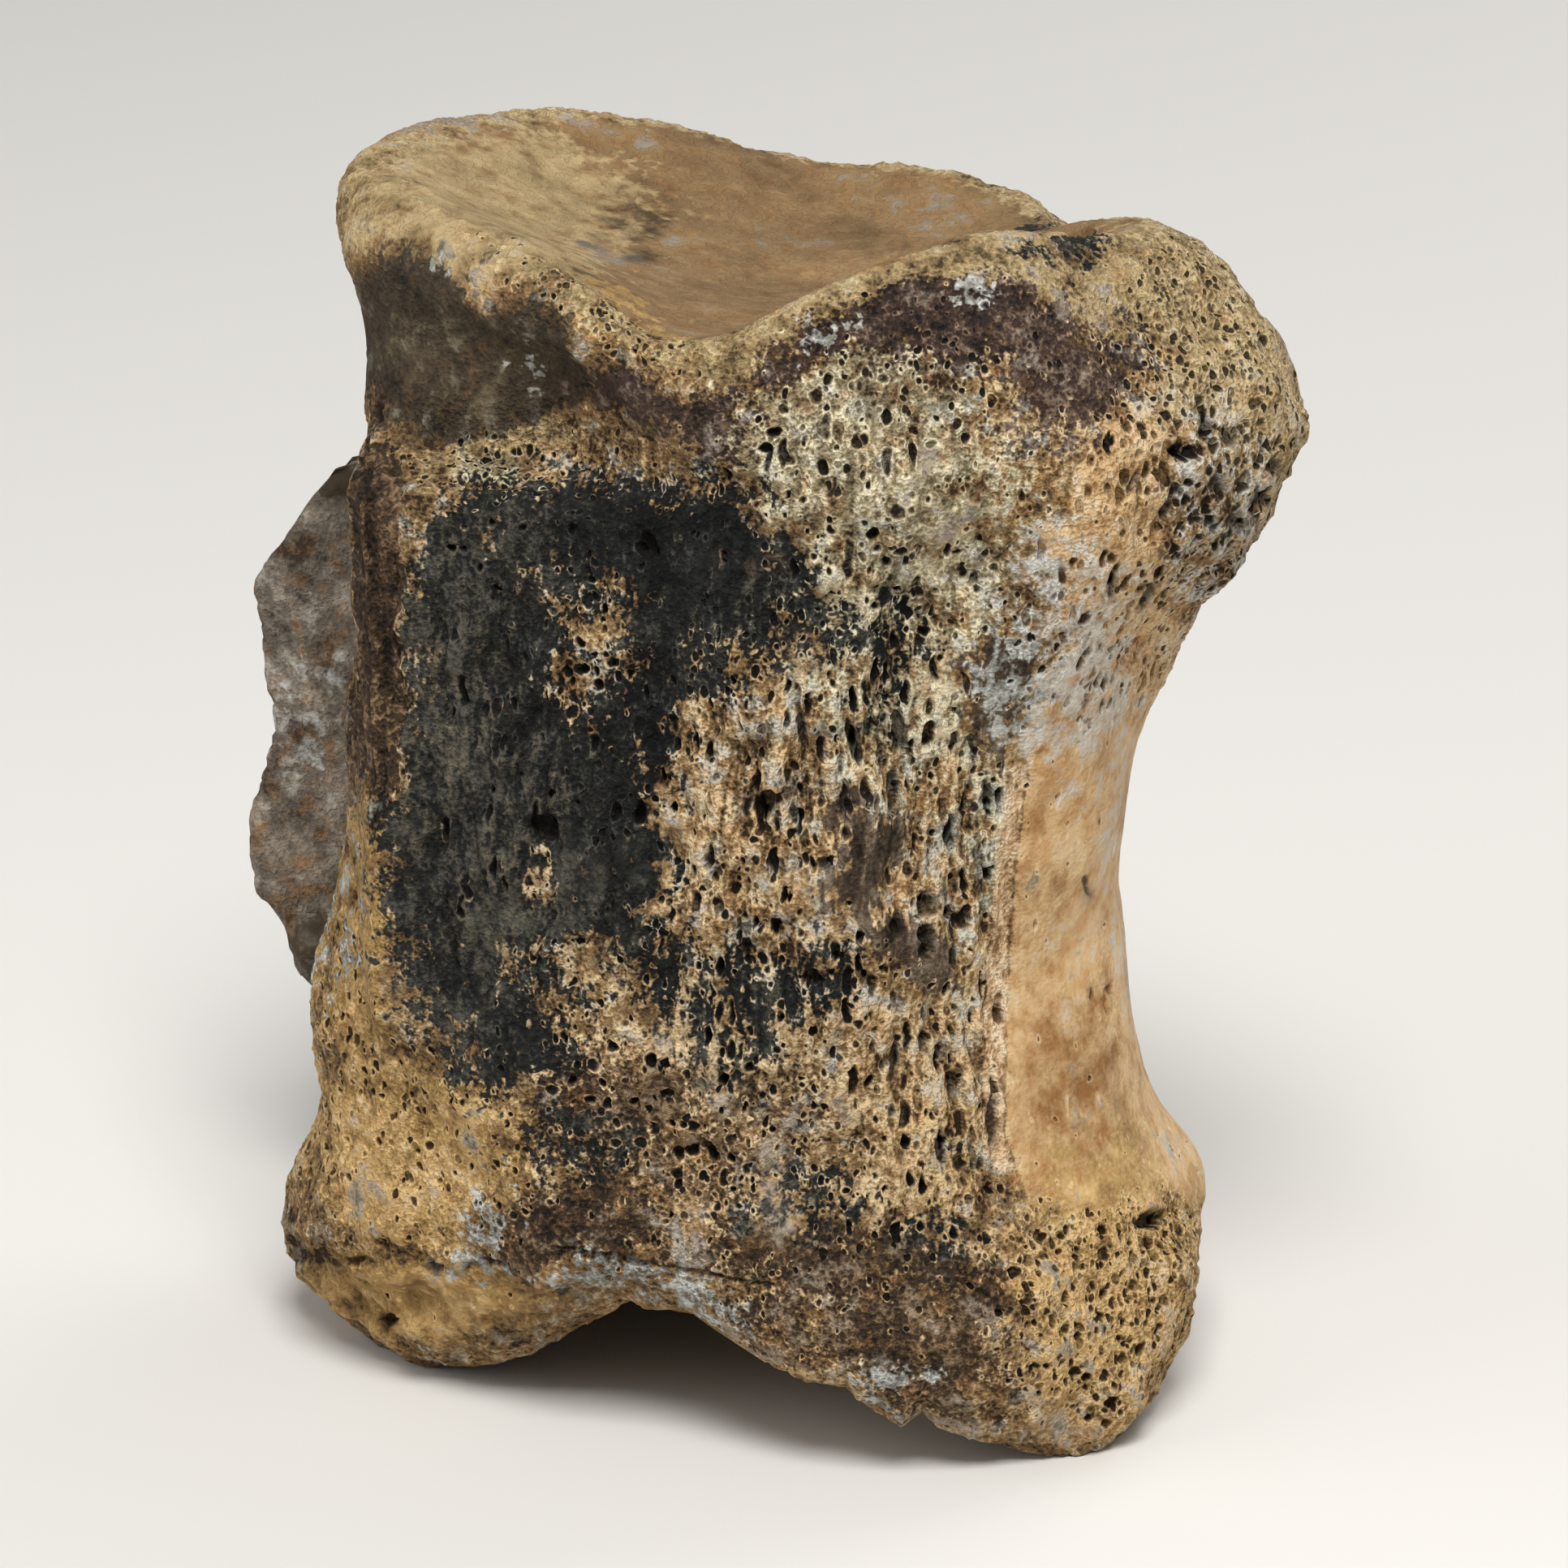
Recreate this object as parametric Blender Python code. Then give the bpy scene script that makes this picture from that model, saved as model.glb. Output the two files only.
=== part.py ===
"""A weathered dinosaur vertebra: the spool-shaped centrum with what is left of its arch.

It stands on one articular end, as it was photographed. The belly side faces +X, the
arch side -X, the side with the large fresh break -Y and the hidden side +Y. The bone
grew as one piece, so it is one closed skin. The skin is lofted through closed rings
from the middle of the lower face, out over its rim, up the waist, over the upper rim
and into the middle of the upper face. Broken processes are then pushed out of it.

Lengths below are in millimetres and angles in degrees, turning from +X towards +Y.
"""

import bmesh
import bpy
import numpy as np

MM = 0.001

# How finely the skin is divided.
COLUMNS = 100
ROWS = 49

# The rings, from the lower rim to the upper one. Each has its distance from the long
# axis and its height, at every 30 degrees round the bone.
LOWER_CREST = (
    (23.0, 19.0, 18.0, 18.0, 20.0, 22.0, 23.0, 22.4, 18.5, 20.0, 24.0, 26.0),
    (1.8, -0.6, -1.4, -1.4, -1.8, -1.1, -1.3, -0.5, 4.6, 7.8, 3.6, -1.3),
)
LOWER_RIM = (
    (26.3, 24.0, 22.5, 23.0, 27.0, 30.5, 31.0, 29.3, 24.0, 22.0, 25.5, 28.8),
    (10.0, 9.0, 8.0, 7.0, 7.0, 7.0, 7.0, 7.5, 10.0, 13.0, 10.0, 7.0),
)
FOOT = (
    (23.2, 21.0, 19.5, 19.5, 22.0, 26.5, 26.8, 28.4, 23.5, 20.0, 21.5, 23.5),
    (19.5, 20.0, 20.0, 20.0, 21.0, 21.0, 21.0, 21.0, 21.0, 22.0, 20.0, 19.0),
)
WAIST = (
    (21.0, 20.2, 18.0, 17.0, 20.5, 24.5, 24.0, 27.0, 22.0, 18.5, 19.5, 21.0),
    (34.0, 36.0, 37.0, 38.0, 38.0, 40.0, 42.0, 42.0, 40.0, 38.0, 36.0, 34.0),
)
NECK = (
    (26.0, 22.5, 20.0, 20.0, 23.0, 25.0, 24.0, 24.8, 18.5, 19.5, 20.5, 24.0),
    (49.5, 51.0, 53.0, 55.0, 58.0, 61.0, 62.0, 63.0, 63.0, 58.0, 53.0, 50.0),
)
UPPER_RIM = (
    (32.3, 27.0, 23.0, 24.5, 27.5, 29.4, 28.2, 25.4, 20.8, 20.6, 23.0, 28.5),
    (60.5, 62.0, 64.0, 65.0, 67.0, 70.2, 71.2, 70.6, 69.0, 64.0, 62.0, 60.5),
)
UPPER_CREST = (
    (23.5, 18.5, 19.5, 20.5, 22.5, 25.0, 24.5, 21.5, 18.5, 19.5, 18.0, 19.5),
    (73.0, 70.6, 70.4, 71.0, 72.6, 74.2, 74.4, 73.6, 72.4, 69.4, 72.6, 73.6),
)
RINGS = (LOWER_CREST, LOWER_RIM, FOOT, WAIST, NECK, UPPER_RIM, UPPER_CREST)

# The hollow faces at both ends.
LOWER_HOLLOW = 7.0  # height of the middle of the lower face
UPPER_HOLLOW = 68.0  # height of the middle of the upper face
UPPER_HOLLOW_AT = (4.0, -2.0)  # its place, nearer the belly and the broken side
SHOULDER = 0.5  # how far out the ring between middle and crest lies

# The process broken off the near side leaves a slab of open spongy bone.
SLAB_FACE = 20.6  # its distance from the long axis
SLAB_ARCH_EDGE = (-27.0, -20.0)
SLAB_TURNS_AT = 4.0  # from here it curves back towards the belly
SLAB_BELLY_EDGE = 19.6
SLAB_SPREAD = (196.0, 212.0, 318.0, 340.0)  # fades in, is full, is still full, fades out
SLAB_LEDGE = 62.4  # height of its upper edge over the arch side
SLAB_LEDGE_RISE = 2.0  # and how much higher the edge is towards the belly
SLAB_LEDGE_RISES = (-8.0, 10.0)
SLAB_LEDGE_SLOPE = (-4.4, 3.6)
SLAB_FOOT = 18.0  # where it fades into the lower rim, over the arch side
SLAB_FOOT_DROP = 18.0
SLAB_FOOT_DROPS = (-20.0, -5.0)
SLAB_FOOT_SLOPE = (-10.0, 10.0)
SLAB_BLEND = 1.6

# The same process on the far side broke off closer to the bone.
STUMP_FACE = 20.4
STUMP_AT = (-5.0, 40.0)  # along X and Z
STUMP_HALF = (13.0, 17.0)
STUMP_EDGE = (0.8, 1.15)  # shares of its half size between which it ends
STUMP_BLEND = 1.2

# The neural canal runs up the arch side, between the two broken walls.
CANAL_AT = 1.0  # along Y
CANAL_HALF = 7.0
CANAL_DEPTH = 3.6
CANAL_HEIGHTS = (8.0, 20.0, 56.0, 68.0)  # fades in, is full, is still full, fades out
CANAL_STARTS = (8.0, 18.0)  # how far towards -X it fades in

# The far wall of the neural canal still stands out as a thin broken plate.
PLATE_BETWEEN = (9.4, 15.0)  # its two faces, along Y
PLATE_FACE_SLOPE = 2.0
PLATE_HEIGHTS = (14.0, 17.0, 20.1, 22.2, 28.5, 34.0, 39.0, 43.2, 46.4, 51.4, 54.6)
PLATE_EDGE = (24.0, 33.0, 35.4, 37.6, 37.5, 36.1, 37.3, 37.6, 35.9, 32.2, 24.0)
PLATE_BLEND = 2.6

# Hollows worth a finger tip: place, radius and depth.
DENTS = (
    ((17.0, -6.0, 71.5), 3.2, 1.3),  # between the upper face and the knob
    ((13.5, -16.5, 27.5), 2.6, 0.9),  # a wide blood vessel canal
    ((11.5, -17.5, 37.0), 2.4, 0.7),  # and the next one above it
    ((-6.5, -21.0, 9.0), 3.0, 1.0),  # the bite out of the lower edge
    ((27.0, -12.0, 14.0), 2.2, 1.0),  # a pit in the spongy lower corner
    ((-9.0, -14.5, 71.0), 3.0, 1.0),  # the dip in front of the arch lobe
)

# The crease that sets the lower lobe off from its rim, on the arch side.
CREASE_HEIGHT = 5.6
CREASE_REACH = (188.0, 202.0, 222.0, 236.0)  # fades in, is full, is still full, fades out
CREASE_WIDTH = 1.5
CREASE_DEPTH = 0.7

# Slow unevenness of the whole skin.
LUMP_LENGTH = 13.0
LUMP_HEIGHT = 0.32
LUMP_WAVES = 24
LUMP_SEED = 5

# Where spongy bone lies open the skin is rougher: place, reach along X, Y and Z.
SPONGY = (
    ((0.0, -22.0, 36.0), (24.0, 7.0, 26.0)),  # the break on the near side
    ((-5.0, 21.0, 40.0), (13.0, 4.0, 16.0)),  # the break on the far side
    ((29.0, -4.0, 61.0), (9.0, 15.0, 10.0)),  # the knob
    ((24.0, -12.0, 6.0), (10.0, 12.0, 9.0)),  # the lower corner under the belly
    ((-22.0, -12.0, 8.0), (10.0, 12.0, 8.0)),  # the lower lobe of the arch side
)
SPONGY_EDGE = (0.7, 1.2)  # shares of the reach between which the roughness ends
PIT_LENGTH = 4.6
PIT_HEIGHT = 0.2
PIT_WAVES = 30
PIT_SEED = 11

FOSSIL_TAN = (0.40, 0.24, 0.11, 1.0)
FOSSIL_ROUGHNESS = 0.72


def cubic(before, start, end, after, part):
    """The smooth curve from start to end that also heeds the values before and after."""
    line = end - before
    bend = 2 * before - 5 * start + 4 * end - after
    twist = 3 * start - before - 3 * end + after
    return start + 0.5 * part * (line + part * (bend + part * twist))


def around(angle, knots):
    """A closed smooth curve through evenly spaced knots, read at each angle."""
    knots = np.asarray(knots)
    place = np.mod(angle / (2 * np.pi), 1) * len(knots)
    first = np.floor(place).astype(int)
    near = [knots[(first + step) % len(knots)] for step in (-1, 0, 1, 2)]
    return cubic(*near, place - first)


def along(place, rings, mirrored):
    """A smooth curve through the rings. Past either pole it runs on as its mirror image."""
    last = len(rings) - 1
    first = np.clip(np.floor(place).astype(int), 0, last - 1)
    part = (place - first)[:, None]
    padded = np.concatenate([mirrored * rings[1:2], rings, mirrored * rings[-2:-1]])
    return cubic(*[padded[first + step] for step in range(4)], part)


def ease(value, low, high):
    """Rises smoothly from 0 at low to 1 at high."""
    part = np.clip((value - low) / (high - low), 0, 1)
    return part * part * (3 - 2 * part)


def pushed_out(skin_at, form_at, blend):
    """The farther out of the skin and an added form, with the corner between rounded."""
    round_off = blend * np.clip(form_at / blend, 0, 1)
    farther = 0.5 * (skin_at + form_at + np.sqrt((skin_at - form_at) ** 2 + round_off**2))
    return np.maximum(skin_at, farther)


def spool(angle, place):
    """The centrum itself: X, Y and Z for each row and column."""
    radii = [around(angle, ring[0]) for ring in RINGS]
    heights = [around(angle, ring[1]) for ring in RINGS]
    pole = np.zeros_like(angle)
    low_shoulder = 0.75 * LOWER_HOLLOW + 0.25 * heights[0]
    high_shoulder = 0.75 * UPPER_HOLLOW + 0.25 * heights[-1]
    radii = [pole, SHOULDER * radii[0], *radii, SHOULDER * radii[-1], pole]
    heights = [pole + LOWER_HOLLOW, low_shoulder, *heights, high_shoulder, pole + UPPER_HOLLOW]
    radius = along(place, np.array(radii), -1)
    z = along(place, np.array(heights), 1)
    crest = len(RINGS) + 1
    inwards = ease(place, crest, crest + 2)[:, None]
    x = radius * np.cos(angle) + UPPER_HOLLOW_AT[0] * inwards
    y = radius * np.sin(angle) + UPPER_HOLLOW_AT[1] * inwards
    return x, y, z


def span(value, starts, full, still_full, ends):
    """Rises from 0 to 1, stays there and falls back to 0."""
    return ease(value, starts, full) * (1 - ease(value, still_full, ends))


def slab(x, z, degrees):
    """How far the near break stands out towards -Y over each X and Z."""
    back = np.maximum(x - SLAB_TURNS_AT, 0) / (SLAB_BELLY_EDGE - SLAB_TURNS_AT)
    face = SLAB_FACE * np.sqrt(np.clip(1 - back**2, 0, 1)) * span(degrees, *SLAB_SPREAD)
    ledge = SLAB_LEDGE + SLAB_LEDGE_RISE * ease(x, *SLAB_LEDGE_RISES)
    foot = SLAB_FOOT - SLAB_FOOT_DROP * ease(x, *SLAB_FOOT_DROPS)
    above_foot = ease(z - foot, *SLAB_FOOT_SLOPE)
    below_ledge = 1 - ease(z - ledge, *SLAB_LEDGE_SLOPE)
    return face * ease(x, *SLAB_ARCH_EDGE) * above_foot * below_ledge


def stump(x, z):
    """How far the far break stands out towards +Y over each X and Z."""
    out = np.hypot((x - STUMP_AT[0]) / STUMP_HALF[0], (z - STUMP_AT[1]) / STUMP_HALF[1])
    return STUMP_FACE * (1 - ease(out, *STUMP_EDGE))


def canal(x, y, z):
    """How far the neural canal sinks the arch side in towards +X."""
    across = np.clip(1 - ((y - CANAL_AT) / CANAL_HALF) ** 2, 0, 1) ** 1.5
    return CANAL_DEPTH * across * span(z, *CANAL_HEIGHTS) * ease(-x, *CANAL_STARTS)


def plate(y, z):
    """How far the broken canal wall stands out towards -X over each Y and Z."""
    low, high = PLATE_BETWEEN
    slope = PLATE_FACE_SLOPE / 2
    between = ease(y, low - slope, low + slope) * (1 - ease(y, high - slope, high + slope))
    edge = np.interp(z, PLATE_HEIGHTS, PLATE_EDGE, left=0, right=0)
    return edge * between


def waves(points, length, count, seed):
    """A seeded sum of plane waves that rises and falls by about 1 over the length."""
    rng = np.random.default_rng(seed)
    ways = rng.normal(size=(count, 3))
    ways /= np.linalg.norm(ways, axis=1, keepdims=True)
    pace = 2 * np.pi / (length * rng.uniform(0.7, 1.5, count))
    phase = rng.uniform(0, 2 * np.pi, count)
    total = np.zeros(points.shape[:-1])
    for way, speed, start in zip(ways, pace, phase):
        total += np.sin(points @ (way * speed) + start)
    return total * np.sqrt(2 / count)


def spongy(points):
    """From 0 on sound bone to 1 in the middle of open spongy bone."""
    share = np.zeros(points.shape[:-1])
    for at, reach in SPONGY:
        apart = np.linalg.norm((points - at) / np.array(reach), axis=-1)
        share = np.maximum(share, 1 - ease(apart, *SPONGY_EDGE))
    return share


def outward(points):
    """The unit normal of the skin at each row and column."""
    round_it = np.roll(points, -1, 1) - np.roll(points, 1, 1)
    up_it = np.gradient(points, axis=0)
    normal = np.cross(round_it, up_it)
    return normal / (np.linalg.norm(normal, axis=-1, keepdims=True) + 1e-9)


def bone(angle, place):
    """The finished skin before it is set down: points in rows and columns."""
    x, y, z = spool(angle, place)
    crest = len(RINGS) + 1
    wall = ((place > 1.8) & (place < crest + 0.2))[:, None]
    degrees = np.degrees(angle)
    x = x + canal(x, y, z) * wall
    y = np.where(wall & (y < 0), -pushed_out(-y, slab(x, z, degrees), SLAB_BLEND), y)
    y = np.where(wall & (y > 0), pushed_out(y, stump(x, z), STUMP_BLEND), y)
    x = np.where(wall & (x < 0), -pushed_out(-x, plate(y, z), PLATE_BLEND), x)
    points = np.stack([x, y, z], -1)
    push = LUMP_HEIGHT * waves(points, LUMP_LENGTH, LUMP_WAVES, LUMP_SEED)
    push += PIT_HEIGHT * spongy(points) * waves(points, PIT_LENGTH, PIT_WAVES, PIT_SEED)
    for at, radius, depth in DENTS:
        apart = np.linalg.norm(points - at, axis=-1)
        push -= depth * np.exp(-((apart / radius) ** 2) * 2)
    reach = span(degrees, *CREASE_REACH) * wall
    push -= CREASE_DEPTH * reach * np.exp(-(((z - CREASE_HEIGHT) / CREASE_WIDTH) ** 2))
    push[0] = push[0].mean()
    push[-1] = push[-1].mean()
    points = points + outward(points) * push[..., None]
    points[..., 2] = np.maximum(points[..., 2], 0)
    return points


def evenly(lengths, count, closed):
    """Places that cut a line of such step lengths into equal parts, from 0 to 1."""
    run = np.concatenate([[0], np.cumsum(lengths)])
    goal = np.linspace(0, run[-1], count, endpoint=not closed)
    return np.interp(goal, run, np.linspace(0, 1, len(run)))


def spacing():
    """Column angles and row places that make faces of about one size."""
    angle = np.linspace(0, 2 * np.pi, 1441)
    top = len(RINGS) + 3
    level = np.array([RINGS.index(WAIST) + 2.0, RINGS.index(FOOT) + 2.0])
    section = bone(angle[:-1], level)
    closed = np.concatenate([section, section[:, :1]], 1)
    steps = np.linalg.norm(np.diff(closed, axis=1), axis=-1).mean(0)
    columns = 2 * np.pi * evenly(steps, COLUMNS, True)
    place = np.linspace(0, top, 601)
    meridians = bone(columns, place)
    steps = np.linalg.norm(np.diff(meridians, axis=0), axis=-1).mean(1)
    return columns, top * evenly(steps, ROWS, False)


def settled(points):
    """Moves the skin so that its box stands on the origin, centred over it."""
    low = points.min((0, 1))
    high = points.max((0, 1))
    return points - [(low[0] + high[0]) / 2, (low[1] + high[1]) / 2, low[2]]


def skin(points):
    """Joins the rows into one closed mesh, with a fan of triangles at either pole."""
    mesh = bmesh.new()
    floor = mesh.verts.new(points[0, 0] * MM)
    loops = [[mesh.verts.new(point * MM) for point in row] for row in points[1:-1]]
    ceiling = mesh.verts.new(points[-1, 0] * MM)
    count = points.shape[1]
    for column in range(count):
        after = (column + 1) % count
        mesh.faces.new((floor, loops[0][after], loops[0][column]))
        mesh.faces.new((ceiling, loops[-1][column], loops[-1][after]))
        for below, above in zip(loops, loops[1:]):
            mesh.faces.new((below[column], below[after], above[after], above[column]))
    bmesh.ops.triangulate(mesh, faces=mesh.faces[:], quad_method="SHORT_EDGE")
    return mesh


def fossil_bone():
    """Mineralised bone, tan and dull."""
    material = bpy.data.materials.new("fossil_bone")
    material.use_nodes = True
    shader = material.node_tree.nodes["Principled BSDF"]
    shader.inputs["Base Color"].default_value = FOSSIL_TAN
    shader.inputs["Roughness"].default_value = FOSSIL_ROUGHNESS
    shader.inputs["Metallic"].default_value = 0.0
    material.diffuse_color = FOSSIL_TAN
    return material


def vertebra():
    """The whole bone as one object."""
    columns, rows = spacing()
    surface = skin(settled(bone(columns, rows)))
    data = bpy.data.meshes.new("vertebra")
    surface.to_mesh(data)
    surface.free()
    data.shade_smooth()
    data.materials.append(fossil_bone())
    piece = bpy.data.objects.new("vertebra", data)
    bpy.context.scene.collection.objects.link(piece)
    return piece


for old in list(bpy.data.objects):
    bpy.data.objects.remove(old, do_unlink=True)
vertebra()
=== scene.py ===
# %% [markdown]
# # A weathered dinosaur vertebra
# The real thing is one bone: a spool-shaped centrum about 75 mm long that stands on one of
# its hollow ends. A process has broken off the side nearest the camera, so that side shows
# open spongy bone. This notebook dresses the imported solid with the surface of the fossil:
# its pores, cracks and ledges as real relief, and its stains as a procedural material.
#
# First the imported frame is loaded. Everything that follows is placed in it.

# %% Load the frame
import math

import bpy
import numpy as np
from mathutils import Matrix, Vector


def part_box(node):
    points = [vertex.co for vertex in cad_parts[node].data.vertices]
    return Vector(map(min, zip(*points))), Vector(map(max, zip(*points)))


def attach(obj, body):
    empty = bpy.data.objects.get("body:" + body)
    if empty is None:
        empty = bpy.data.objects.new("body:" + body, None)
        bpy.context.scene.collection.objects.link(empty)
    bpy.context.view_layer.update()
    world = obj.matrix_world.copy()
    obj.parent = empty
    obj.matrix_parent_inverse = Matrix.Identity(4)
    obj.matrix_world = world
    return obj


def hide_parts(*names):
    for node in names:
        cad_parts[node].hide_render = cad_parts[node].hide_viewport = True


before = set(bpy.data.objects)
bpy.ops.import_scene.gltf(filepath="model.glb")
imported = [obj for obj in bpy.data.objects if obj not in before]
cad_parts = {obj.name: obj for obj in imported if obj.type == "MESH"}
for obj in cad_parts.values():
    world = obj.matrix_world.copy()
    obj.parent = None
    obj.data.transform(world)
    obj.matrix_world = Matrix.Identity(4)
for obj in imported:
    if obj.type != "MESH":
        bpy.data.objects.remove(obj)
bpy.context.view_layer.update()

NODE = "vertebra"
low_corner, high_corner = [np.array(corner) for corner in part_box(NODE)]
print("the solid measures", ((high_corner - low_corner) * 1000).round(1), "mm")

# %% [markdown]
# ## The form of the bone
# The solid is a skin lofted through seven closed rings. It could be refined by subdividing
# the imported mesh, but that would only smooth its facets. Here the same rings are read again
# on a far finer grid, so the skin itself is exact and every vertex knows where on the bone
# it sits. Radii and heights are in millimetres at every 30 degrees, turning from the belly
# side (+X) towards the hidden side (+Y).

# %% Rings, from the lower rim to the upper one
MM = 0.001
LOWER_CREST = (
    (23.0, 19.0, 18.0, 18.0, 20.0, 22.0, 23.0, 22.4, 18.5, 20.0, 24.0, 26.0),
    (1.8, -0.6, -1.4, -1.4, -1.8, -1.1, -1.3, -0.5, 4.6, 7.8, 3.6, -1.3),
)
LOWER_RIM = (
    (26.3, 24.0, 22.5, 23.0, 27.0, 30.5, 31.0, 29.3, 24.0, 22.0, 25.5, 28.8),
    (10.0, 9.0, 8.0, 7.0, 7.0, 7.0, 7.0, 7.5, 10.0, 13.0, 10.0, 7.0),
)
FOOT = (
    (23.2, 21.0, 19.5, 19.5, 22.0, 26.5, 26.8, 28.4, 23.5, 20.0, 21.5, 23.5),
    (19.5, 20.0, 20.0, 20.0, 21.0, 21.0, 21.0, 21.0, 21.0, 22.0, 20.0, 19.0),
)
WAIST = (
    (21.0, 20.2, 18.0, 17.0, 20.5, 24.5, 24.0, 27.0, 22.0, 18.5, 19.5, 21.0),
    (34.0, 36.0, 37.0, 38.0, 38.0, 40.0, 42.0, 42.0, 40.0, 38.0, 36.0, 34.0),
)
NECK = (
    (26.0, 22.5, 20.0, 20.0, 23.0, 25.0, 24.0, 24.8, 18.5, 19.5, 20.5, 24.0),
    (49.5, 51.0, 53.0, 55.0, 58.0, 61.0, 62.0, 63.0, 63.0, 58.0, 53.0, 50.0),
)
UPPER_RIM = (
    (32.3, 27.0, 23.0, 24.5, 27.5, 29.4, 28.2, 25.4, 20.8, 20.6, 23.0, 28.5),
    (60.5, 62.0, 64.0, 65.0, 67.0, 70.2, 71.2, 70.6, 69.0, 64.0, 62.0, 60.5),
)
UPPER_CREST = (
    (23.5, 18.5, 19.5, 20.5, 22.5, 25.0, 24.5, 21.5, 18.5, 19.5, 18.0, 19.5),
    (73.0, 70.6, 70.4, 71.0, 72.6, 74.2, 74.4, 73.6, 72.4, 69.4, 72.6, 73.6),
)
RINGS = (LOWER_CREST, LOWER_RIM, FOOT, WAIST, NECK, UPPER_RIM, UPPER_CREST)
LOW_CREST_AT = 2  # the place of the first ring along the skin; a pole and a shoulder come before
HIGH_CREST_AT = len(RINGS) + 1
LOWER_HOLLOW = 7.0
UPPER_HOLLOW = 68.0
UPPER_HOLLOW_AT = (4.0, -2.0)
SHOULDER = 0.5


def cubic(before, start, end, after, part):
    """Catmull-Rom: the cubic from start to end whose slopes point from before to end and
    from start to after."""
    line = end - before
    bend = 2 * before - 5 * start + 4 * end - after
    twist = 3 * start - before - 3 * end + after
    return start + 0.5 * part * (line + part * (bend + part * twist))


def around(angle, knots):
    """A closed cubic through evenly spaced knots, read at each angle."""
    knots = np.asarray(knots)
    place = np.mod(angle / (2 * np.pi), 1) * len(knots)
    first = np.floor(place).astype(int)
    near = [knots[(first + step) % len(knots)] for step in (-1, 0, 1, 2)]
    return cubic(*near, place - first)


def along(place, rings, mirrored):
    """A cubic through the rings for each place; past a pole it runs on mirrored."""
    last = len(rings) - 1
    first = np.clip(np.floor(place).astype(int), 0, last - 1)
    part = (place - first)[:, None]
    padded = np.concatenate([mirrored * rings[1:2], rings, mirrored * rings[-2:-1]])
    return cubic(*[padded[first + step] for step in range(4)], part)


def ease(value, low, high):
    """3 t squared minus 2 t cubed, with t running from 0 at low to 1 at high."""
    part = np.clip((value - low) / (high - low), 0, 1)
    return part * part * (3 - 2 * part)


def span(value, starts, full, still_full, ends):
    """Rises from 0 to 1, stays there and falls back to 0."""
    return ease(value, starts, full) * (1 - ease(value, still_full, ends))


def spool(angle, place):
    """The centrum: x is radius times the cosine of the angle, y radius times its sine, and
    radius and height follow the rings."""
    radii = [around(angle, ring[0]) for ring in RINGS]
    heights = [around(angle, ring[1]) for ring in RINGS]
    pole = np.zeros_like(angle)
    low_shoulder = 0.75 * LOWER_HOLLOW + 0.25 * heights[0]
    high_shoulder = 0.75 * UPPER_HOLLOW + 0.25 * heights[-1]
    radii = [pole, SHOULDER * radii[0], *radii, SHOULDER * radii[-1], pole]
    heights = [pole + LOWER_HOLLOW, low_shoulder, *heights, high_shoulder, pole + UPPER_HOLLOW]
    radius = along(place, np.array(radii), -1)
    z = along(place, np.array(heights), 1)
    inwards = ease(place, HIGH_CREST_AT, HIGH_CREST_AT + 2)[:, None]
    x = radius * np.cos(angle) + UPPER_HOLLOW_AT[0] * inwards
    y = radius * np.sin(angle) + UPPER_HOLLOW_AT[1] * inwards
    return x, y, z


print(len(RINGS), "rings make the centrum")

# %% [markdown]
# ## What broke off it
# The near process left a slab with a ledge over it, the far one a low stump. Between the
# two the neural canal runs up the arch side, and its far wall still stands as a thin plate.
# Each of these is a height pushed out of the centrum; where it is lower than the centrum it
# does nothing, and the corner between the two is rounded.

# %% Slab, stump, canal and plate
SLAB_FACE = 20.6
SLAB_ARCH_EDGE = (-27.0, -20.0)
SLAB_TURNS_AT = 4.0
SLAB_BELLY_EDGE = 19.6
SLAB_SPREAD = (196.0, 212.0, 318.0, 340.0)
SLAB_LEDGE = 62.4
SLAB_LEDGE_RISE = 2.0
SLAB_LEDGE_RISES = (-8.0, 10.0)
SLAB_LEDGE_SLOPE = (-4.4, 3.6)
SLAB_FOOT = 18.0
SLAB_FOOT_DROP = 18.0
SLAB_FOOT_DROPS = (-20.0, -5.0)
SLAB_FOOT_SLOPE = (-10.0, 10.0)
SLAB_BLEND = 1.6
STUMP_FACE = 20.4
STUMP_AT = (-5.0, 40.0)
STUMP_HALF = (13.0, 17.0)
STUMP_EDGE = (0.8, 1.15)
STUMP_BLEND = 1.2
CANAL_AT = 1.0
CANAL_HALF = 7.0
CANAL_DEPTH = 3.6
CANAL_HEIGHTS = (8.0, 20.0, 56.0, 68.0)
CANAL_STARTS = (8.0, 18.0)
PLATE_BETWEEN = (9.4, 15.0)
PLATE_FACE_SLOPE = 2.0
PLATE_HEIGHTS = (14.0, 17.0, 20.1, 22.2, 28.5, 34.0, 39.0, 43.2, 46.4, 51.4, 54.6)
PLATE_EDGE = (24.0, 33.0, 35.4, 37.6, 37.5, 36.1, 37.3, 37.6, 35.9, 32.2, 24.0)
PLATE_BLEND = 2.6


def pushed_out(skin_at, form_at, blend):
    """The farther out of skin and form: half their sum plus half the root of their
    difference squared and the blend squared, which rounds the corner."""
    round_off = blend * np.clip(form_at / blend, 0, 1)
    farther = 0.5 * (skin_at + form_at + np.sqrt((skin_at - form_at) ** 2 + round_off**2))
    return np.maximum(skin_at, farther)


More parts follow.
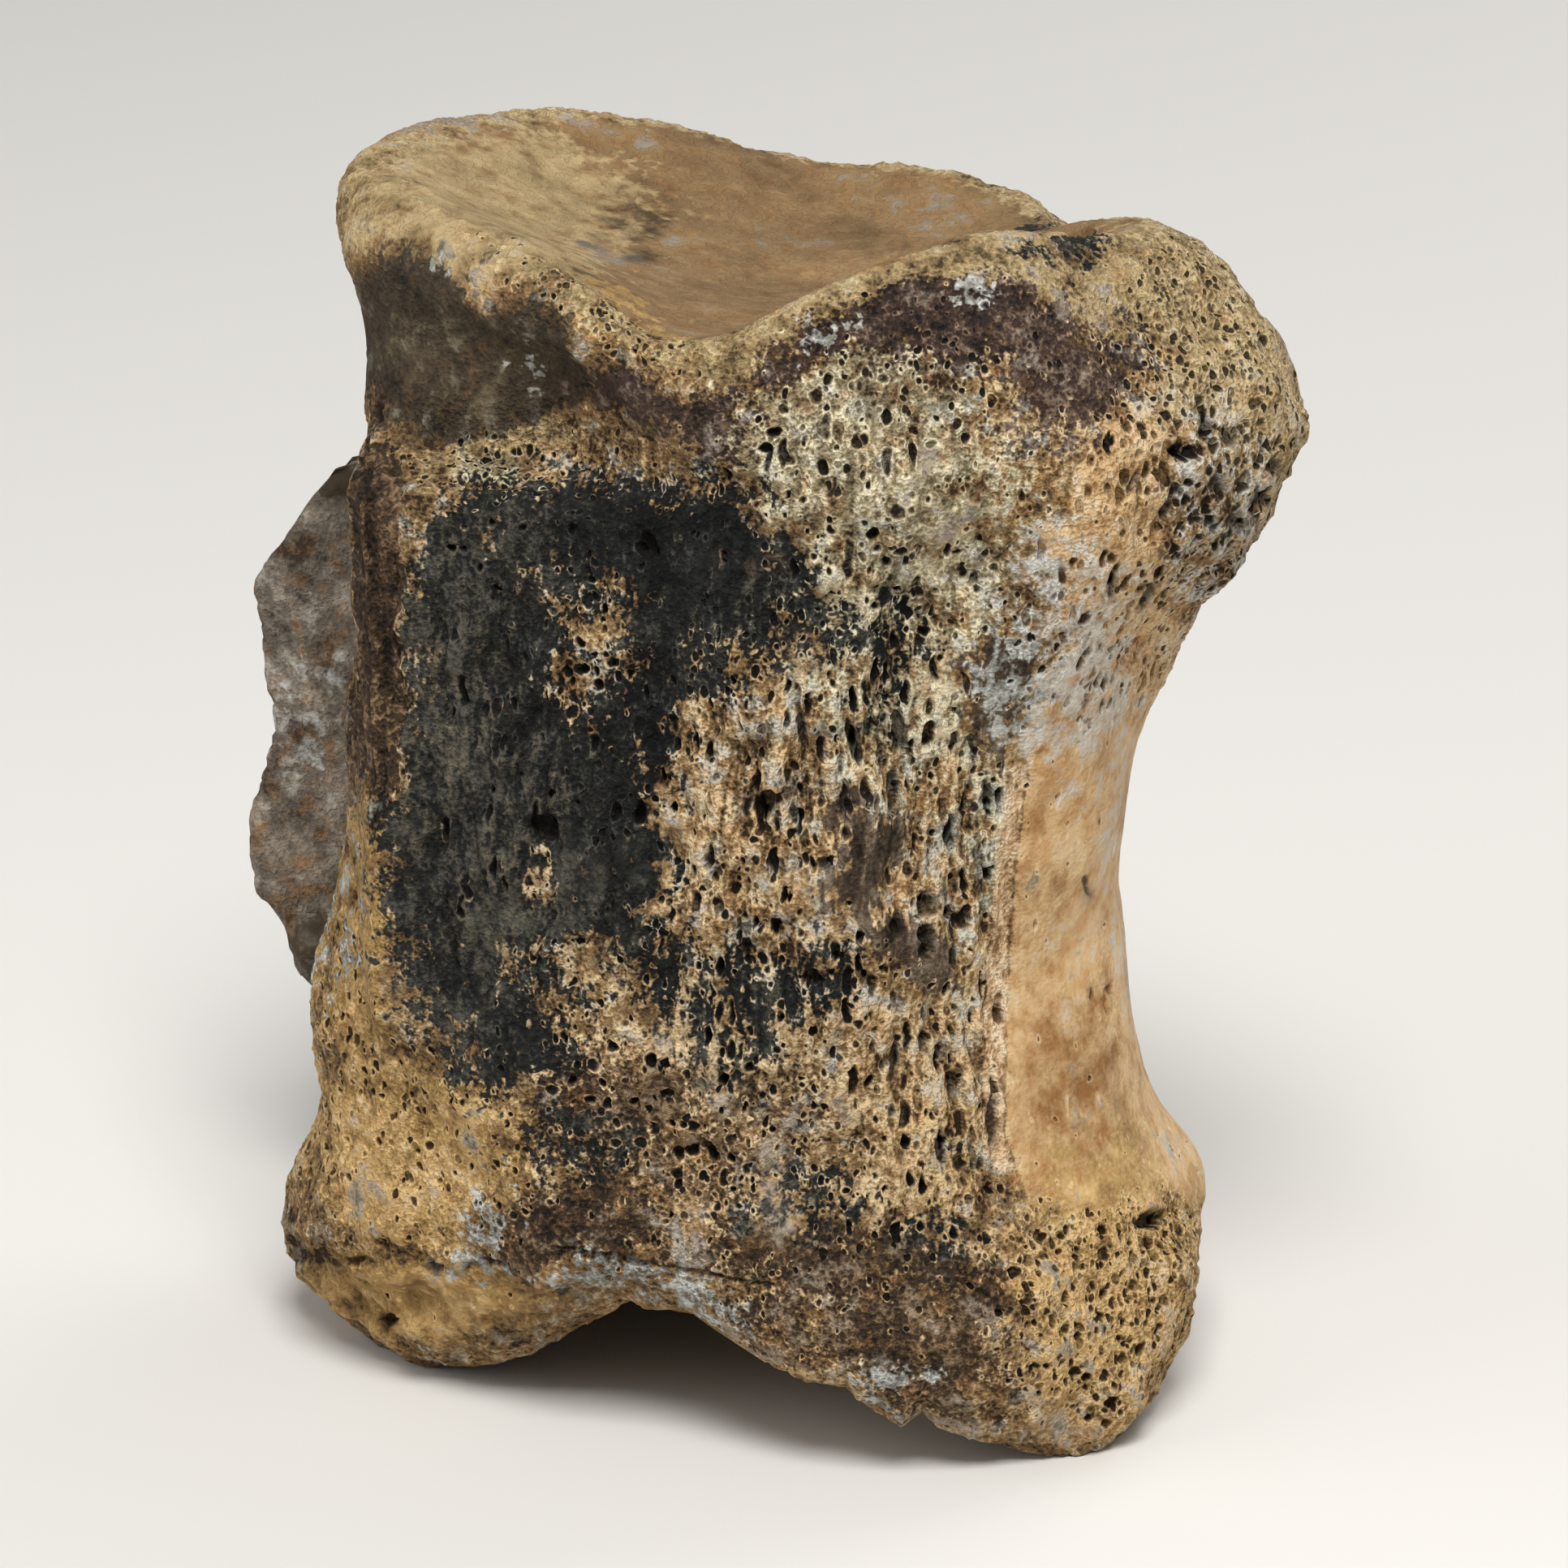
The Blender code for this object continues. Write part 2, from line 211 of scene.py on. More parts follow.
def slab(x, z, degrees):
    """How far the near break stands out towards -Y: a flat face that ends in a quarter
    ellipse at the belly, times its eased edges."""
    back = np.maximum(x - SLAB_TURNS_AT, 0) / (SLAB_BELLY_EDGE - SLAB_TURNS_AT)
    face = SLAB_FACE * np.sqrt(np.clip(1 - back**2, 0, 1)) * span(degrees, *SLAB_SPREAD)
    ledge = SLAB_LEDGE + SLAB_LEDGE_RISE * ease(x, *SLAB_LEDGE_RISES)
    foot = SLAB_FOOT - SLAB_FOOT_DROP * ease(x, *SLAB_FOOT_DROPS)
    above_foot = ease(z - foot, *SLAB_FOOT_SLOPE)
    below_ledge = 1 - ease(z - ledge, *SLAB_LEDGE_SLOPE)
    return face * ease(x, *SLAB_ARCH_EDGE) * above_foot * below_ledge


def stump(x, z):
    """How far the far break stands out towards +Y: flat inside an ellipse."""
    out = np.hypot((x - STUMP_AT[0]) / STUMP_HALF[0], (z - STUMP_AT[1]) / STUMP_HALF[1])
    return STUMP_FACE * (1 - ease(out, *STUMP_EDGE))


def canal(x, y, z):
    """How far the neural canal sinks the arch side in: depth times one minus the squared
    offset, to the power 1.5."""
    across = np.clip(1 - ((y - CANAL_AT) / CANAL_HALF) ** 2, 0, 1) ** 1.5
    return CANAL_DEPTH * across * span(z, *CANAL_HEIGHTS) * ease(-x, *CANAL_STARTS)


def plate(y, z):
    """How far the canal's far wall stands out towards -X: its chipped edge by height,
    between two eased faces."""
    low, high = PLATE_BETWEEN
    slope = PLATE_FACE_SLOPE / 2
    between = ease(y, low - slope, low + slope) * (1 - ease(y, high - slope, high + slope))
    edge = np.interp(z, PLATE_HEIGHTS, PLATE_EDGE, left=0, right=0)
    return edge * between


# %% [markdown]
# ## Dents, crease and slow lumps
# Bone is never a clean surface of rotation. Seeded sums of plane waves give it slow
# lumps, rougher where the spongy bone lies open, and a few dents and a crease are set
# where the real bone has them. All of it is in the solid too, so both have one form.

# %% Dents, crease and lumps
DENTS = (
    ((17.0, -6.0, 71.5), 3.2, 1.3),
    ((13.5, -16.5, 27.5), 2.6, 0.9),
    ((11.5, -17.5, 37.0), 2.4, 0.7),
    ((-6.5, -21.0, 9.0), 3.0, 1.0),
    ((27.0, -12.0, 14.0), 2.2, 1.0),
    ((-9.0, -14.5, 71.0), 3.0, 1.0),
)
CREASE_HEIGHT = 5.6
CREASE_REACH = (188.0, 202.0, 222.0, 236.0)
CREASE_WIDTH = 1.5
CREASE_DEPTH = 0.7
LUMP_LENGTH, LUMP_HEIGHT, LUMP_WAVES, LUMP_SEED = 13.0, 0.32, 24, 5
SPONGY = (
    ((0.0, -22.0, 36.0), (24.0, 7.0, 26.0)),
    ((-5.0, 21.0, 40.0), (13.0, 4.0, 16.0)),
    ((29.0, -4.0, 61.0), (9.0, 15.0, 10.0)),
    ((24.0, -12.0, 6.0), (10.0, 12.0, 9.0)),
    ((-22.0, -12.0, 8.0), (10.0, 12.0, 8.0)),
)
SPONGY_EDGE = (0.7, 1.2)
PIT_LENGTH, PIT_HEIGHT, PIT_WAVES, PIT_SEED = 4.6, 0.2, 30, 11


def waves(points, length, count, seed):
    """A sum of sines of plane waves in random directions, scaled to rise and fall by 1."""
    rng = np.random.default_rng(seed)
    ways = rng.normal(size=(count, 3))
    ways /= np.linalg.norm(ways, axis=1, keepdims=True)
    pace = 2 * np.pi / (length * rng.uniform(0.7, 1.5, count))
    phase = rng.uniform(0, 2 * np.pi, count)
    total = np.zeros(points.shape[:-1])
    for way, speed, start in zip(ways, pace, phase):
        total += np.sin(points @ (way * speed) + start)
    return total * np.sqrt(2 / count)


def spongy(points):
    """From 0 on sound bone to 1 in the middle of open spongy bone."""
    share = np.zeros(points.shape[:-1])
    for at, reach in SPONGY:
        apart = np.linalg.norm((points - at) / np.array(reach), axis=-1)
        share = np.maximum(share, 1 - ease(apart, *SPONGY_EDGE))
    return share


def outward(points):
    """The unit normal: the cross product of the steps round the skin and up it."""
    round_it = np.roll(points, -1, 1) - np.roll(points, 1, 1)
    up_it = np.gradient(points, axis=0)
    normal = np.cross(round_it, up_it)
    return normal / (np.linalg.norm(normal, axis=-1, keepdims=True) + 1e-9)


def closed(points):
    """Draws each end row together in one pole, at the middle of the row beside it."""
    points[0] = points[1].mean(0)
    points[-1] = points[-2].mean(0)
    return points


def bone(angle, place):
    """The whole form before it is set down: points in rows and columns."""
    x, y, z = spool(angle, place)
    wall = ((place > LOW_CREST_AT - 0.2) & (place < HIGH_CREST_AT + 0.2))[:, None]
    degrees = np.degrees(angle)
    x = x + canal(x, y, z) * wall
    y = np.where(wall & (y < 0), -pushed_out(-y, slab(x, z, degrees), SLAB_BLEND), y)
    y = np.where(wall & (y > 0), pushed_out(y, stump(x, z), STUMP_BLEND), y)
    x = np.where(wall & (x < 0), -pushed_out(-x, plate(y, z), PLATE_BLEND), x)
    points = np.stack([x, y, z], -1)
    push = LUMP_HEIGHT * waves(points, LUMP_LENGTH, LUMP_WAVES, LUMP_SEED)
    push += PIT_HEIGHT * spongy(points) * waves(points, PIT_LENGTH, PIT_WAVES, PIT_SEED)
    for at, radius, depth in DENTS:
        apart = np.linalg.norm(points - at, axis=-1)
        push -= depth * np.exp(-((apart / radius) ** 2) * 2)
    reach = span(degrees, *CREASE_REACH) * wall
    push -= CREASE_DEPTH * reach * np.exp(-(((z - CREASE_HEIGHT) / CREASE_WIDTH) ** 2))
    points = points + outward(points) * push[..., None]
    points[..., 2] = np.maximum(points[..., 2], 0)
    return points


# %% [markdown]
# ## The fine grid
# The pores are about half a millimetre wide, so the grid needs a vertex every 0.1 to
# 0.2 mm. The broken side gets its columns closer together than the plain hidden side,
# because it holds nearly all of the detail. The spacing is found by walking round two
# sections and up some of the columns, and cutting the mean walk into equal parts.

# %% Columns and rows
COLUMNS, ROWS = ((1200, 720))
NEAR_SIDE = (185.0, 205.0, 335.0, 355.0)  # degrees where the columns stand closer
NEAR_MORE = 0.8  # by this share
WALK_ROUND, WALK_UP = 1441, 601  # points of a walk round a section and up a column
WALK_EVERY = 10  # columns from one walk up to the next


def evenly(lengths, count, closed_line):
    """Places that cut a line of such step lengths into equal parts, from 0 to 1."""
    run = np.concatenate([[0], np.cumsum(lengths)])
    goal = np.linspace(0, run[-1], count, endpoint=not closed_line)
    return np.interp(goal, run, np.linspace(0, 1, len(run)))


def spacing():
    """Column angles and row places for faces of about one size, smaller on the near side."""
    angle = np.linspace(0, 2 * np.pi, WALK_ROUND)
    top = len(RINGS) + 3
    level = np.array([RINGS.index(WAIST) + 2.0, RINGS.index(FOOT) + 2.0])
    section = bone(angle[:-1], np.sort(level))
    ring = np.concatenate([section, section[:, :1]], 1)
    steps = np.linalg.norm(np.diff(ring, axis=1), axis=-1).mean(0)
    steps = steps * (1 + NEAR_MORE * span(np.degrees(angle[:-1]), *NEAR_SIDE))
    columns = 2 * np.pi * evenly(steps, COLUMNS, True)
    place = np.linspace(0, top, WALK_UP)
    meridians = bone(columns[::WALK_EVERY], place)
    steps = np.linalg.norm(np.diff(meridians, axis=0), axis=-1).mean(1)
    return columns, top * evenly(steps, ROWS, False)


columns, rows = spacing()
form = closed(bone(columns, rows))
box_low, box_high = form.min((0, 1)), form.max((0, 1))
stand = (low_corner + high_corner) / 2 / MM - (box_low + box_high) / 2
stand[2] = low_corner[2] / MM - box_low[2]
form = form + stand
normal = outward(form)
print(form.shape[0], "rows of", form.shape[1], "vertices; the grid measures",
      (box_high - box_low).round(1), "mm")

# %% [markdown]
# ## Where the camera stands
# The stains and breaks are easiest to place where they are seen, so the camera comes
# first. It looks at the broken side from a little to the right and above. Any point of the
# bone then has a place in the picture, in millimetres from the picture's middle, and a
# patch can be given by that place. The patches are fixed to the bone once, as attributes
# of its vertices, so nothing slides when the bone is seen from elsewhere.

# %% Camera
AZIMUTH, ELEVATION = math.radians(15), math.radians(18)
DISTANCE = 450.0
AIM = np.array([0.0, 0.0, 36.1]) + stand
PICTURE_SIDE = 96.6  # mm that the square picture spans at the aim
SENSOR = 36.0
towards = np.array([
    math.sin(AZIMUTH) * math.cos(ELEVATION),
    -math.cos(AZIMUTH) * math.cos(ELEVATION),
    math.sin(ELEVATION),
])
sideways = np.array([math.cos(AZIMUTH), math.sin(AZIMUTH), 0.0])
upwards = np.cross(towards, sideways)

camera_data = bpy.data.cameras.new("camera")
camera_data.sensor_width = SENSOR
camera_data.lens = SENSOR * DISTANCE / PICTURE_SIDE
camera_data.clip_start, camera_data.clip_end = 0.01, 10.0
camera = bpy.data.objects.new("camera", camera_data)
bpy.context.scene.collection.objects.link(camera)
bpy.context.scene.camera = camera
camera.location = (AIM + towards * DISTANCE) * MM
camera.rotation_euler = (math.pi / 2 - ELEVATION, 0, AZIMUTH)
print("lens", round(camera_data.lens, 1), "mm")


def in_picture(points):
    """Across and up in the picture: the offset from the aim along the camera's own axes,
    times the distance, divided by the depth."""
    offset = points - AIM
    nearness = DISTANCE / (DISTANCE - offset @ towards)
    return (offset @ sideways) * nearness, (offset @ upwards) * nearness


# %% [markdown]
# ## Blender's textures, read at every vertex
# The pores have to be in the same places in the relief and in the colour. Both are taken
# from Blender's own Voronoi and noise textures: a small node group reads them at every
# vertex for the relief, and the material reads them again at every pixel. One function
# adds a node to either kind of tree, and one builds a layer of cells in either.

# %% Nodes and cells
def add(tree, kind, settings=None, inputs=None):
    """Adds a node, sets its properties, and links or sets its inputs."""
    made = tree.nodes.new(kind)
    for name, value in (settings or {}).items():
        setattr(made, name, value)
    for key, value in (inputs or {}).items():
        if isinstance(value, bpy.types.NodeSocket):
            tree.links.new(value, made.inputs[key])
        else:
            made.inputs[key].default_value = value
    return made


CELLS = {  # spacing in mm, smallest and largest radius as a share of it, depth in mm
    "round_pores": {"across": 0.86, "along": 0.95, "radii": (0.26, 0.55), "deep": 0.55},
    "upright_pores": {"across": 0.74, "along": 2.3, "radii": (0.24, 0.54), "deep": 0.7},
    "fine_pores": {"across": 0.48, "along": 0.72, "radii": (0.24, 0.55), "deep": 0.25},
}
PORE_LIP, PORE_WALL = 0.05, 0.2  # from the rim outwards and inwards, as shares of the spacing
OPENING = 0.25  # the share of cells that are half open at any amount of pores
DEEP_FROM = (0.2, 0.85)  # a cell's third random number, from shallow to deep
SHALLOW = 0.3  # the depth of a cell that is nearly filled, as a share of a deep one
WOBBLE_LENGTH, WOBBLE = 0.8, 0.42  # mm; it keeps the pores from being round


def wobbled(tree, where):
    """The place plus a slow noise, so that round cells become irregular."""
    noise = add(tree, "ShaderNodeTexNoise", None,
                {"Vector": where, "Scale": 1 / WOBBLE_LENGTH, "Detail": 0.0})
    return add(tree, "ShaderNodeVectorMath", {"operation": "MULTIPLY_ADD"},
               {0: noise.outputs["Color"], 1: (WOBBLE,) * 3, 2: where}).outputs[0]


def cells(tree, where, layer):
    """Distance to the nearest cell centre and three random numbers of that cell."""
    size = (1 / layer["across"], 1 / layer["across"], 1 / layer["along"])
    scaled = add(tree, "ShaderNodeVectorMath", {"operation": "MULTIPLY"}, {0: where, 1: size})
    voronoi = add(tree, "ShaderNodeTexVoronoi", {"feature": "F1"},
                  {"Vector": scaled.outputs[0], "Scale": 1.0})
    chances = [add(tree, "ShaderNodeVectorMath", {"operation": "DOT_PRODUCT"},
                   {0: voronoi.outputs["Color"], 1: way}).outputs["Value"]
               for way in ((1.0, 0.0, 0.0), (0.0, 1.0, 0.0), (0.0, 0.0, 1.0))]
    return voronoi.outputs["Distance"], *chances


# %% [markdown]
# ## Noise of every size
# Five noises are read in the same way. Drift, blotch and crumb bend the borders of the
# stains; blotch, crumb and grit roughen the bone; and column is drawn out along it, as its
# struts are. A mesh of bare points carries them through a node group, which is far quicker
# than working Blender's noise out again by hand.

# %% Read the textures at the vertices
NOISES = {  # length across and along in mm, detail, roughness
    "drift": (9.0, 9.0, 3.0, 0.55),
    "blotch": (3.2, 3.2, 4.0, 0.6),
    "crumb": (0.9, 0.9, 4.0, 0.65),
    "grit": (0.35, 0.35, 2.0, 0.6),
    "column": (1.5, 9.0, 2.0, 0.5),
}


def read_textures(points):
    """A mesh of bare points goes through a node group that stores each texture in it."""
    flat = points.reshape(-1, 3)
    data = bpy.data.meshes.new("samples")
    data.vertices.add(len(flat))
    data.vertices.foreach_set("co", flat.astype(np.float32).ravel())
    samples = bpy.data.objects.new("samples", data)
    bpy.context.scene.collection.objects.link(samples)
    tree = bpy.data.node_groups.new("samples", "GeometryNodeTree")
    for side in ("INPUT", "OUTPUT"):
        tree.interface.new_socket("Geometry", in_out=side, socket_type="NodeSocketGeometry")
    geometry = add(tree, "NodeGroupInput").outputs[0]
    where = add(tree, "GeometryNodeInputPosition").outputs[0]
    moved = wobbled(tree, where)
    wanted = {}
    for name, layer in CELLS.items():
        for part, socket in zip(("gap", "size", "order", "fill"), cells(tree, moved, layer)):
            wanted[name + "_" + part] = socket
    for name, (width, height, detail, roughness) in NOISES.items():
        scaled = add(tree, "ShaderNodeVectorMath", {"operation": "MULTIPLY"},
                     {0: where, 1: (1 / width, 1 / width, 1 / height)}).outputs[0]
        noise = add(tree, "ShaderNodeTexNoise", None,
                    {"Vector": scaled, "Scale": 1.0, "Detail": detail, "Roughness": roughness})
        wanted[name] = noise.outputs[0]
    for name, socket in wanted.items():
        store = add(tree, "GeometryNodeStoreNamedAttribute", {"domain": "POINT"},
                    {"Geometry": geometry, "Name": name, "Value": socket})
        geometry = store.outputs[0]
    add(tree, "NodeGroupOutput", None, {0: geometry})
    samples.modifiers.new("read", "NODES").node_group = tree
    ready = samples.evaluated_get(bpy.context.evaluated_depsgraph_get()).data
    found = {}
    for name in wanted:
        values = np.empty(len(flat), np.float32)
        ready.attributes[name].data.foreach_get("value", values)
        found[name] = values.reshape(points.shape[:-1])
    bpy.data.objects.remove(samples)
    bpy.data.meshes.remove(data)
    bpy.data.node_groups.remove(tree)
    return found


read = read_textures(form)
print("read", len(read), "textures at", form[..., 0].size, "vertices")

# %% [markdown]
# ## Where each stain lies
# Minerals from the rock stained the bone in patches: a charcoal one over half of the break,
# a cream and bluish one beside it, a dark red-brown one under the upper rim. Each patch is
# a few ellipses placed in the picture, given as across, up, half width, half height, lean
# in degrees and strength. Their edges are drawn soft here. The material breaks them up
# later, with noise far finer than the vertices. Network is no stain: it is where tan struts
# show through the charcoal, so it is taken off that.

# %% Patches in the picture, in mm from its middle
PATCHES = {
    "charcoal": (
        (-17.6, -0.7, 7.0, 16.0, 0, 1.4), (-20.3, 11.8, 4.0, 6.0, 0, 1.3),
        (-4.6, 13.4, 6.0, 4.8, -10, 1.02), (-9.8, -1.7, 4.6, 8.0, 0, 1.02),
        (-7.0, 8.3, 5.0, 5.0, 0, 0.92), (-3.3, -14.0, 5.0, 5.5, 0, 0.76),
        (1.4, 9.6, 4.6, 3.6, -20, 0.85), (-17.3, -16.2, 5.0, 3.5, 0, 0.9),
        (1.7, -10.8, 2.8, 4.0, 0, 0.72), (-14.5, 15.5, 6.5, 3.2, -8, 1.02),
        (-9.0, -10.5, 5.0, 4.0, 0, 0.82), (9.5, -28.0, 3.5, 1.6, -20, 0.7),
        (7.0, 6.6, 4.0, 4.0, 0, 0.42), (17.2, 33.3, 2.8, 0.8, -5, 0.72),
        (-12.0, -23.0, 4.0, 2.5, 0, 0.6), (2.0, -25.0, 6.0, 3.0, 0, 0.6),
    ),
    "network": (
        (-13.0, 7.0, 3.0, 4.4, 0, 0.68), (-13.0, -11.8, 4.5, 3.0, 0, 0.5),
        (-4.3, 0.8, 5.0, 3.0, 0, 0.7), (-1.8, -4.7, 5.5, 6.5, 0, 0.9),
        (-15.3, -5.0, 1.3, 1.6, 0, 0.6), (-23.0, 16.0, 1.5, 5.0, 0, 0.7),
    ),
    "cream": (
        (4.7, 19.6, 10.0, 5.0, -8, 1.0), (7.2, 12.3, 8.5, 5.5, 0, 0.95),
        (-0.3, 16.0, 5.0, 3.0, 0, 0.8), (8.2, 5.0, 6.0, 6.0, 0, 0.8),
        (12.4, -2.0, 2.0, 8.0, 0, 0.6), (6.2, 24.6, 6.0, 2.2, -20, 0.75),
        (-17.0, 18.6, 3.0, 1.5, -20, 0.8),
    ),
    "lip": (
        (2.4, 26.6, 5.0, 1.5, 28, 0.9), (11.0, 28.2, 8.0, 3.0, 4, 1.1),
        (18.0, 25.4, 4.3, 3.4, 0, 0.9), (15.5, 21.6, 4.5, 2.4, 0, 0.62),
        (-7.5, 23.3, 6.5, 1.8, -12, 0.8), (-4.0, 20.8, 3.0, 1.2, 0, 0.6),
    ),
    # groove: a dark stain, with painted shade under the upper rim
    "groove": (
        (-22.8, 27.4, 5.2, 5.8, 0, 1.0), (-16.6, 25.8, 5.0, 3.6, -32, 1.0),
        (-9.6, 23.4, 4.6, 1.5, -28, 0.85), (-19.0, 22.7, 7.0, 1.5, 0, 0.85),
    ),
    "umber": (
        (-6.8, -20.4, 9.5, 5.5, 0, 0.9), (2.7, -29.0, 9.0, 3.4, -12, 0.9),
        (8.5, -35.0, 6.0, 4.0, -30, 1.0), (1.0, -34.0, 7.0, 2.6, -20, 0.75),
        (-11.0, -27.0, 5.0, 2.6, 0, 0.85), (6.5, -26.5, 4.0, 4.0, 0, 0.4),
        (11.5, -34.0, 2.5, 6.0, 0, 0.8), (-15.8, -28.6, 1.8, 3.0, 0, 1.2),
    ),
    "ochre": (
        (-23.0, -22.5, 7.5, 6.5, 0, 0.9), (-22.0, -31.7, 7.5, 3.0, 0, 1.0),
        (20.0, -31.0, 6.5, 9.0, 0, 0.9), (-26.4, -10.5, 2.2, 9.0, 0, 1.3),
        (1.2, -35.0, 2.6, 2.2, 0, 0.6), (8.2, -22.5, 5.0, 6.0, 0, 0.45),
        (-11.4, 29.4, 8.0, 1.5, -30, 0.75),
    ),
    "olive": (
        (-18.5, 35.5, 9.5, 5.0, 0, 1.0), (-18.0, 20.3, 5.5, 1.6, 0, 0.9),
        (23.7, 30.5, 6.5, 3.5, -20, 0.9), (28.0, 25.0, 5.0, 7.5, 0, 0.9),
        (29.0, 17.5, 4.5, 6.0, 0, 0.7),
    ),
    "matrix": (
        (4.8, -4.4, 2.3, 3.4, 0, 0.95), (7.6, -10.5, 4.0, 2.0, -35, 0.95),
        (13.0, 5.0, 2.2, 3.8, 0, 0.9), (-1.5, 14.0, 1.2, 1.0, 0, 0.5),
    ),
    "crust": (
        (14.8, 5.6, 1.0, 3.6, 0, 0.6), (13.0, 6.4, 1.2, 2.2, 0, 0.6),
        (-18.4, -28.0, 0.9, 2.6, -12, 0.75), (-10.0, -30.6, 3.6, 1.3, -5, 0.8),
        (-5.6, -31.9, 1.8, 1.2, -15, 0.75),
        (11.5, 30.3, 1.4, 0.9, -20, 0.9), (7.2, -37.1, 2.2, 0.4, 8, 0.9),
        (2.5, 27.0, 2.0, 1.0, 30, 0.7), (-15.8, 25.6, 0.3, 1.6, 0, 0.65),
        (-21.5, 32.6, 1.8, 0.5, -20, 0.5), (-27.2, -8.0, 0.35, 6.5, -7, 0.8),
    ),
    "blue_grey": (
        (18.6, 6.0, 2.6, 5.0, 0, 0.8), (17.4, 2.5, 1.6, 3.5, 0, 0.7),
        (16.0, 11.0, 1.6, 5.0, 0, 0.5), (20.5, -5.0, 0.8, 7.0, 0, 0.5),
        (27.0, 17.0, 3.0, 6.0, 0, 0.45),
    ),
    "orange": (
        (16.7, -1.7, 1.6, 3.0, 0, 0.8), (18.0, -18.0, 3.0, 6.0, 0, 0.4),
        (16.0, -23.5, 1.6, 2.2, 0, 0.5), (-12.0, -36.5, 2.0, 1.0, 0, 0.3),
    ),
}
PATCH_EDGE = (0.4, 1.6)  # shares of the half size between which a patch fades
WARP = (8.0, 3.2)  # mm a unit of slow and of quick noise that a patch's edge is moved by


def patch(across, up, spots):
    """The largest over all ellipses of its strength, which fades with the distance from its
    middle."""
    share = np.zeros(across.shape)
    for at_across, at_up, half_across, half_up, lean, strength in spots:
        turn = np.radians(lean)
        right = (across - at_across) * np.cos(turn) + (up - at_up) * np.sin(turn)
        above = (up - at_up) * np.cos(turn) - (across - at_across) * np.sin(turn)
        apart = np.hypot(right / half_across, above / half_up)
        share = np.maximum(share, strength * (1 - ease(apart, *PATCH_EDGE)))
    return share


print(sum(len(spots) for spots in PATCHES.values()), "ellipses in", len(PATCHES), "patches")

# %% [markdown]
# ## The side that the picture shows
# A place in the picture is also the place of all that lies behind it, so each patch would
# show up again on the far side. Facing is 1 where the skin looks towards the camera and
# fades to 0 just round its outline, and hidden is the rest. The canal's far wall looks
# towards the camera too, but behind the slab, so it counts as hidden. Noise times a number
# of millimetres is added to each place, here and below, so that no border runs straight.

# %% Facing and hidden
BEHIND_X, BEHIND_Y, BEHIND_TOP = (12.0, 20.0), (-4.0, 2.0), (54.0, 62.0)  # mm; X counts towards -X
ROUND_THE_EDGE = (-0.45, -0.1)  # the normal's part towards the camera, where patches end
slow, middling, quick = [read[name] - 0.5 for name in ("drift", "blotch", "crumb")]
exact_across, exact_up = in_picture(form)
across = exact_across + WARP[0] * middling + WARP[1] * quick
up = exact_up + WARP[0] * slow + WARP[1] * quick[::-1]
x, y, z = np.moveaxis(form - stand, -1, 0)
behind = ease(-x, *BEHIND_X) * ease(y, *BEHIND_Y) * (1 - ease(z, *BEHIND_TOP))
facing = ease(normal @ towards + 0.6 * middling, *ROUND_THE_EDGE) * (1 - behind)
hidden = 1 - facing
share = {name: patch(across, up, spots) * facing for name, spots in PATCHES.items()}
print("the picture shows", round(100 * float(facing.mean())), "per cent of the vertices")

# %% [markdown]
# ## What covers the rest
# Some finishes follow the form and not the picture. The outer layer of dense bone, the
# cortex, begins at a sharp edge along the belly and wraps round the hidden side. Seen end
# on along that edge it is a thin pale line, the shell, which is also a painted highlight
# along that edge. The hollow ends have a smooth bowl and a worn olive rim. The far side is
# taken to be the same bone, with the same wear, because both sides lay in the same rock.

# %% Dense bone, hollows and rims
CORTEX_EDGE_UP = (-25.0, -21.7, -11.7, -4.2, 0.3, 8.3, 13.3, 15.8, 20.3, 24.3)
CORTEX_EDGE_ACROSS = (14.8, 13.6, 13.8, 14.4, 15.0, 16.6, 16.2, 16.8, 18.4, 21.8)
CORTEX_LOOSE = (-2.0, 8.0)  # up in the picture: the edge is clean below, worn away above
CORTEX_BLUR_UP, CORTEX_BLUR = (0.0, 12.0), (0.22, 2.8)  # mm, half the width of the edge
BELLY_UP = (-27.5, -24.5, 22.0, 26.0)
# the shell band: the cortex's pale edge, and a painted highlight along it
SHELL_OFF = (-1.5, -1.1, -0.25, 0.1)  # mm from the cortex's edge
SHELL_TOP = 3.0
KNOB = ((28.5, 16.5, 5.0, 7.5, -20, 1.0), (28.0, 27.0, 8.0, 6.0, 0, 1.0))
STUMP_OPEN, STUMP_OUT = (6.0, 15.0), (6.0, 12.0)  # mm out towards +Y, by form and by place
WALL = (3.0, 11.0, 60.0, 68.0)  # heights between the rims
ARCH_SIDE = (12.0, 18.0)  # mm towards -X
place = np.broadcast_to(rows[:, None], form.shape[:2])
loose = ease(exact_up, *CORTEX_LOOSE)
edge = np.interp(exact_up + loose * (up - exact_up), CORTEX_EDGE_UP, CORTEX_EDGE_ACROSS)
off_edge = exact_across + loose * (across - exact_across) + 0.7 * quick - edge
blur = np.interp(exact_up, CORTEX_BLUR_UP, CORTEX_BLUR)
belly = ease(off_edge / blur, -1.0, 1.0) * span(up, *BELLY_UP) * (1 - patch(across, up, KNOB))
shell = span(off_edge, *SHELL_OFF) * (up < SHELL_TOP) * facing
bent = 24 * middling + 10 * quick + 34 * slow
stump_share = ease(stump(x, z) + bent, *STUMP_OPEN) * ease(y, *STUMP_OUT)
wall_share = span(z + 14 * slow + 6 * middling, *WALL)
arch_side = ease(40 * slow + 14 * middling + 6 * quick - x, *ARCH_SIDE)
sound = wall_share * (1 - stump_share) * (1 - 0.8 * arch_side)
share["cortex"] = belly * facing + sound * hidden
share["bowl"] = ease(place, HIGH_CREST_AT - 0.02, HIGH_CREST_AT + 0.3)
under = 1 - ease(place, LOW_CREST_AT - 0.4, LOW_CREST_AT + 0.1)
share["bowl"] = np.maximum(share["bowl"], under)
